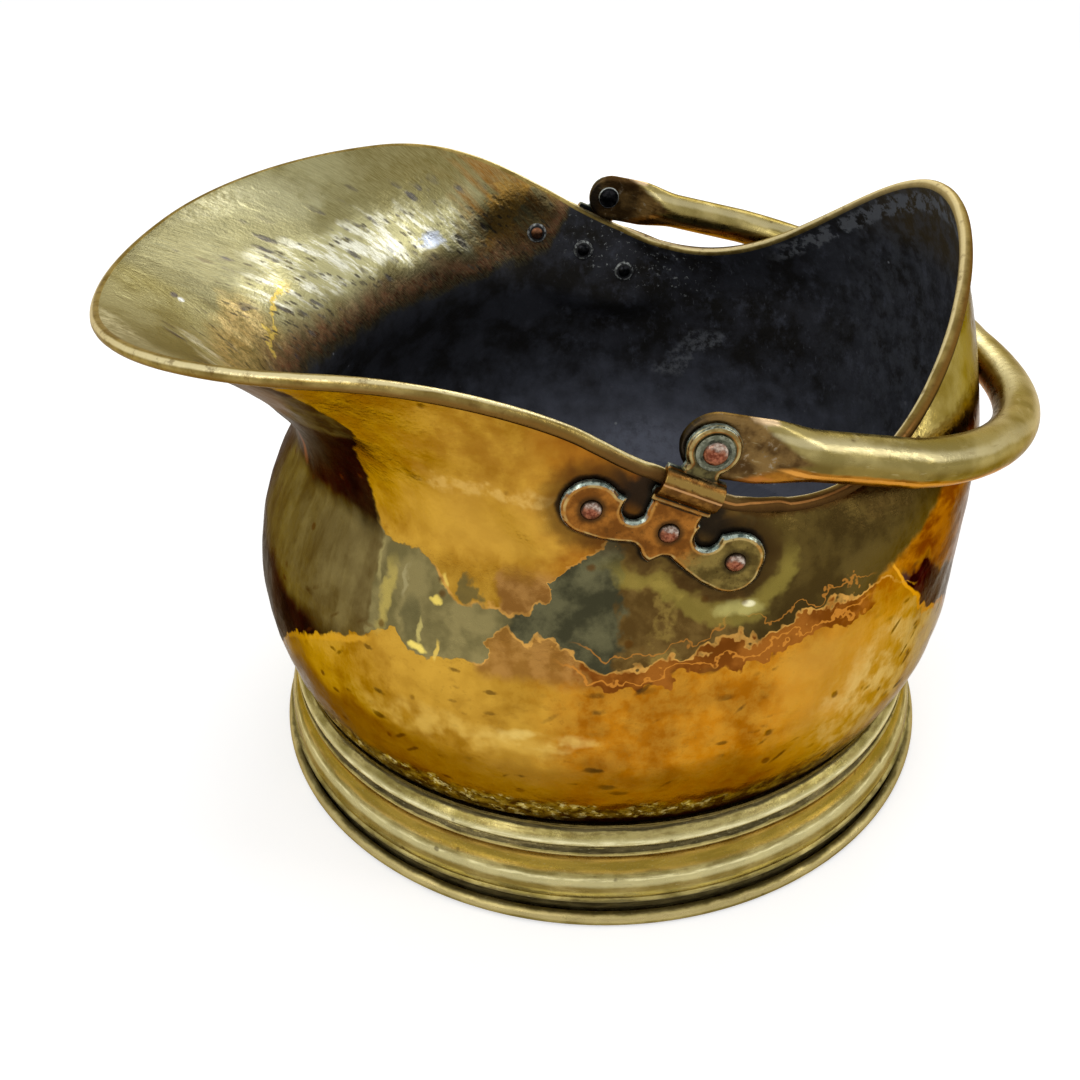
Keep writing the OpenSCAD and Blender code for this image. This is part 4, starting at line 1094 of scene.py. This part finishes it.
def bracket_brass():
    """Cast brackets: amber faces with worn edges under painted highlights, green-grey corners, painted
    shade in crevices.
    """
    f = Finish("bracket_brass", (0.8, 0.65, 0.45))
    along, up, out = f.mark("along"), f.mark("up"), f.mark("out")
    edges = f.node("NewGeometry", out="Pointiness")
    frays = f.noise(3, 4, 0.65) - 0.5
    amber = f.mottle((104, 62, 22), (148, 94, 36), 7, 4)
    olive = f.mottle((78, 64, 30), (120, 102, 52), 7, 4)
    verdigris = f.mottle((72, 84, 78), (160, 172, 160), 2.2, 4, 0.65)
    side = f.step(out + frays * 0.5, BRACKET_T - 0.8, BRACKET_T - 1.3)
    top_edge = f.step(f.mark("upward") + frays * 0.6, 0.3, 0.6) * f.step(out, BRACKET_T, BRACKET_T - 0.5)
    eye = f.step(up + frays, 22, 23.5)
    colour = f.coats(
        f.mix(f.step(along + frays * 14 - up * 0.5, 8, 20), amber, olive),
        (f.clouds(2.5, 4, 0.7, low=0.5, high=0.7) * 0.4, (66, 44, 20)),
        # lighter along the sharp edges: wear, and a painted highlight
        (f.step(edges, 0.503, 0.522) * 0.75, f.mottle((166, 116, 52), (188, 164, 104), 5)),
        (f.step(f.mark("by_rivet") + frays * 1.4, 2.4, 0.2) * f.step(up, 20, 12) * 0.75, (36, 28, 18)),
        (side * f.step(up, 20, 15), verdigris),
        (side * f.step(out + frays * 0.6, 0.9, 0.3), (30, 34, 32)),
        (top_edge, verdigris),
        (f.step(out, 3, 3.6), f.mottle((84, 54, 22), (122, 84, 36), 4, 4)),
        (f.band(up + frays * 1.4, 19.2, 20.4, 0.9) * f.step(out, 3.4, 4.2), (138, 110, 56)),
        # a thin painted highlight along a ridge of the hump
        (f.line(up - 17.6 + frays * 0.5, 0.5) * f.step(out, 3.4, 4.2) * 0.8, (186, 140, 92)),
        (f.step(up, 21.2, 22.4) * f.step(out, 3, 3.6), (58, 50, 30)),
        # darker in the crevices: painted shade
        (f.step(edges, 0.497, 0.482), (34, 28, 20)),
        (eye * f.step(edges, 0.506, 0.5), f.mottle((52, 46, 28), (90, 82, 50), 4, 4)),
        # the eye's raised ring lighter: wear, and a painted highlight
        (eye * f.step(edges, 0.503, 0.514) * 0.8, f.mottle((104, 88, 50), (158, 142, 94), 4, 4)),
        (eye * f.step(out + frays * 0.5, BRACKET_T - 0.8, BRACKET_T - 1.4),
         f.mottle((60, 66, 60), verdigris, 3)),
        (f.specks(2.6, 0.2, 0.5) * 0.5, (48, 34, 18)))
    return f.made(colour, 0.27 + side * 0.3 + f.clouds(3, 4) * 0.1, relief=f.noise(2.2, 3), depth=0.2)


def rivet_copper():
    """Hammered copper: each head with a painted highlight above, red below, dark round its edge; black
    inside the bowl.
    """
    f = Finish("rivet_copper", (0.8, 0.7, 0.6))
    frays = f.noise(1.8, 4, 0.65) - 0.5
    middle, high, level = f.mark("middle") + frays * 0.3, f.mark("high") + frays * 0.6, f.mark("level")
    inside_end = f.step(level, -0.6, -1)
    colour = f.coats(
        f.mottle((98, 56, 38), (146, 90, 62), 1.6, 4),
        # the upper side of each head paler: painted highlight
        (f.step(high + middle * 0.4, 0.24, 0.8) * 0.75, f.mottle((124, 108, 98), (200, 190, 176), 1.2, 4)),
        (f.oval(high, middle, (-0.1, 0.1), (0.42, 0.4), 0.6), f.mottle((100, 50, 34), (150, 92, 68), 1.2)),
        (f.step(middle, 0.72, 0.94), (46, 36, 27)),
        (f.specks(1.6, 0.24, 0.5) * 0.5, (70, 44, 34)),
        (inside_end, f.mottle((14, 15, 17), (38, 38, 40), 2, 4, 0.7)),
        (inside_end * f.step(f.place_on("X"), -12, -14), (112, 76, 54)),
        (inside_end * f.band(f.mark("middle"), 0.93, 1.0, 0.03), (150, 154, 150)))
    return f.made(colour, 0.32 + f.clouds(1.5, 3) * 0.16, relief=f.noise(1.6, 3), depth=0.2)


def tarnished(name, low, high, edge, metallic=1.0):
    """Small turned fittings, darker in patches, with an edge lighter from rubbing and a painted highlight.
    """
    f = Finish(name)
    # the outer edge lighter: wear, and a painted highlight
    rub_and_highlight = f.step(f.mark("middle") + (f.noise(2, 3) - 0.5) * 0.16, 0.76, 0.84)
    colour = f.coats(f.mottle(low, high, 3, 4, 0.65), (rub_and_highlight, f.mottle(edge, high, 1.5, 4)),
                     (f.specks(2, 0.2, 0.6), low))
    return f.made(colour, 0.4 + f.clouds(2, 3) * 0.2, metallic, f.noise(1.4, 3), 0.1)


def bail_brass():
    """Bail: painted highlight above and shade below, orange painted reflection underneath, brown on its
    flattened ends.
    """
    f = Finish("bail_brass", (0.7, 0.58, 0.4))
    flat, reach, lift = f.mark("flatness"), f.mark("reach"), f.mark("lift")
    frays = f.noise(5, 4, 0.6) - 0.5
    high = lift + frays * 1.2 + (f.noise(45, 2) - 0.5) * 5
    run = f.laid(lift, reach * 0.15)
    tube = f.mottle((130, 116, 66), (158, 143, 90), 16, 4)
    brown = f.mottle((70, 50, 26), (120, 94, 54), 8, 4)
    tongue = f.step(FLAT_R + 7 - reach * 0.5 - abs(lift) + frays * 3, 0.5, 3.5) * f.step(flat, 0.02, 0.2)
    colour = f.coats(
        tube,
        # a painted highlight along the upper side
        (f.band(high, 5.6, 6.6, 1.4) * 0.35, (220, 210, 168)),
        # the lower side darker: painted shade; under it an orange painted reflection of the bowl
        (f.step(high, 3.4, -0.6), f.mottle((98, 82, 38), (126, 108, 54), 14, 3)),
        (f.step(high, -2, -3.4), f.mottle((116, 72, 20), (160, 106, 36), 10, 3)),
        (f.step(reach, 118, 146) * f.step(high, 5, 1) * f.step(high, -5, -2) * 0.6, (170, 144, 76)),
        # a painted highlight round the bow
        (f.step(reach, 118, 146) * f.band(high, 5, 7, 1.6) * 0.4, (206, 196, 150)),
        # a bright orange line underneath: painted reflection
        (f.band(high, -5.2, -4.2, 0.7) * 0.85, (212, 148, 66)),
        # the flat ends' top edge: painted highlight; their bottom edge: orange painted reflection
        (f.step(flat, 0.2, 0.5) * f.step(high, 9, 10.4), (214, 186, 146)),
        (f.step(flat, 0.2, 0.5) * f.step(high, -8.4, -9.8), (164, 104, 44)),
        (tongue, brown),
        (tongue * f.clouds(4, 5, 0.7, low=0.58, high=0.7) * 0.7, (180, 166, 142)),
        (tongue * f.clouds(2, 4, 0.7, low=0.56, high=0.7) * 0.5, (46, 34, 20)),
        (f.step(reach + frays * 4, -1, -8), (52, 44, 34)),
        (f.clouds(2.2, 4, 0.65, run, 0.56, 0.72) * 0.35, (100, 80, 38)),
        (f.clouds(1.4, 3, 0.65, run, 0.6, 0.72) * 0.2, (214, 202, 156)),
        (f.specks(9, 0.16, 0.6) * 0.6, (70, 52, 26)))
    roughness = 0.25 + f.step(flat, 0.2, 0.8) * 0.12 + f.clouds(5, 4) * 0.08
    relief = f.noise(7, 3) * 0.6 + f.clouds(1.2, 3, at=run) * 0.05
    return f.made(colour, roughness, relief=relief, depth=0.4)


def iron_wire():
    """Iron wire inside the rolled edges, browned by rust."""
    f = Finish("iron_wire")
    colour = f.coats(f.mottle((48, 42, 38), (86, 76, 68), 4, 4, 0.65),
                     (f.clouds(2.4, 4, 0.7, low=0.55, high=0.7), (96, 54, 28)))
    return f.made(colour, 0.55 + f.clouds(2, 3) * 0.2, relief=f.noise(1, 3), depth=0.08)


# ---- assembly ----

def dress(piece, body, node, slot, *materials):
    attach(piece, body)
    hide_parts(node)
    wear(piece, *materials)


copper = rivet_copper()
rove_iron = tarnished("rove_iron", (14, 15, 17), (34, 34, 36), (150, 154, 152), 0.2)
washer_brass = tarnished("washer_brass", (44, 45, 36), (88, 90, 74), (128, 130, 112))
spacer_brass = tarnished("spacer_brass", (40, 38, 30), (84, 82, 70), (150, 152, 140))
FITTINGS = {"rivet": ("copper", copper), "rove": ("copper", rove_iron), "pivot_rivet": ("copper", copper),
            "pivot_washer": ("washer_brass", washer_brass), "pivot_spacer": ("washer_brass", spacer_brass)}

dress(bowl(), "scuttle", "body_shell", "bowl_brass", bowl_outside(), bowl_inside())
dress(foot(), "scuttle", "foot_ring", "foot_brass", foot_brass())
cast = bracket_brass()
for side in ("near", "far"):
    dress(bracket(side), "scuttle", f"{side}_bracket", "bracket_brass", cast)
for piece, kind, node in fastenings():
    dress(piece, "scuttle", node, *FITTINGS[kind])
dress(bail(), "bail", "bail", "bail_brass", bail_brass())
iron = iron_wire()
for node in ("rim_wire", "foot_wire"):
    wear(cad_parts[node], iron)

# ---- floor, light and camera ----

VIEW_FROM = (-45.74, -433.93, 374.14)
VIEW_YAW, VIEW_PITCH, VIEW_ROLL = 2.4066, 33.5814, -2.2003
FOCAL_PX, FRAME_PX, SENSOR = 1055.72, 1080, 36
FLOOR_SIZE, FLOOR_DROP, FLOOR_WHITE, FLOOR_GLOW = 8, 0.2, 0.85, 0.45
SKY_ON_OBJECT = 0.65
LAMPS_AIM = (0, 0, 0.12)
# Lamps: name, place and size in metres, power
LAMPS = (("window_light", (-0.9, -0.9, 1.2), (0.9, 0.6), 5),
         ("side_light", (1.2, -0.5, 0.9), (0.3, 0.9), 3),
         ("back_light", (0.4, 1.1, 1.1), (0.9, 0.4), 4))


def camera():
    yaw, pitch, roll = (math.radians(a) for a in (VIEW_YAW, VIEW_PITCH, VIEW_ROLL))
    ahead = Vector((math.sin(yaw) * math.cos(pitch), math.cos(yaw) * math.cos(pitch), -math.sin(pitch)))
    right = Vector((math.cos(yaw), -math.sin(yaw), 0))
    up = right.cross(ahead)
    tilted_right = math.cos(roll) * right + math.sin(roll) * up
    tilted_up = -math.sin(roll) * right + math.cos(roll) * up
    turn = Matrix((tilted_right, tilted_up, -ahead)).transposed().to_4x4()
    data = bpy.data.cameras.new("camera")
    data.sensor_width = SENSOR
    data.lens = FOCAL_PX / FRAME_PX * SENSOR
    data.clip_start = 0.01
    cam = bpy.data.objects.new("camera", data)
    cam.matrix_world = Matrix.Translation(Vector(VIEW_FROM) * MM) @ turn
    bpy.context.scene.collection.objects.link(cam)
    bpy.context.scene.camera = cam


def seen_or_mirrored(nodes):
    """1 for rays from the camera, off gloss or through glass, and 0 for those that light the object."""
    seen, glossy, through = (nodes.node("LightPath", out=f"Is {kind} Ray")
                             for kind in ("Camera", "Glossy", "Transmission"))
    return seen.math("MAXIMUM", seen, seen.math("MAXIMUM", glossy, through))


def floor():
    deselect()
    bpy.ops.mesh.primitive_plane_add(size=FLOOR_SIZE, location=(0, 0, -FLOOR_DROP * MM))
    ground = named(bpy.context.active_object, "floor")
    f = Finish("floor_white")
    glow = f.mix(seen_or_mirrored(f), (0, 0, 0, 1), (FLOOR_GLOW, FLOOR_GLOW, FLOOR_GLOW, 1))
    f.feed(f.shader.inputs["Emission Color"], glow)
    f.feed(f.shader.inputs["Emission Strength"], 1)
    f.feed(f.shader.inputs["Specular IOR Level"], 0)
    ground.data.materials.append(f.made((FLOOR_WHITE, FLOOR_WHITE, FLOOR_WHITE, 1), 0.9, 0.0))


def lamp(name, place, size, power):
    data = bpy.data.lights.new(name, "AREA")
    data.shape = "RECTANGLE"
    data.size, data.size_y = size
    data.energy = power
    light = bpy.data.objects.new(name, data)
    light.location = place
    light.rotation_euler = (Vector(place) - Vector(LAMPS_AIM)).to_track_quat("Z", "Y").to_euler()
    bpy.context.scene.collection.objects.link(light)


def sky():
    """White where it is seen or mirrored, and a little less where it lights the object."""
    world = bpy.data.worlds.new("sky")
    world.use_nodes = True
    nodes = Nodes(world.node_tree)
    levels = {"Value": seen_or_mirrored(nodes), "To Min": SKY_ON_OBJECT, "To Max": 1.0}
    level = nodes.node("MapRange", None, levels)
    sockets = world.node_tree.nodes["Background"].inputs
    nodes.feed(sockets["Color"], (1, 1, 1, 1))
    nodes.feed(sockets["Strength"], level)
    bpy.context.scene.world = world


camera()
floor()
for row in LAMPS:
    lamp(*row)
sky()
bpy.context.scene.view_settings.view_transform = "Standard"
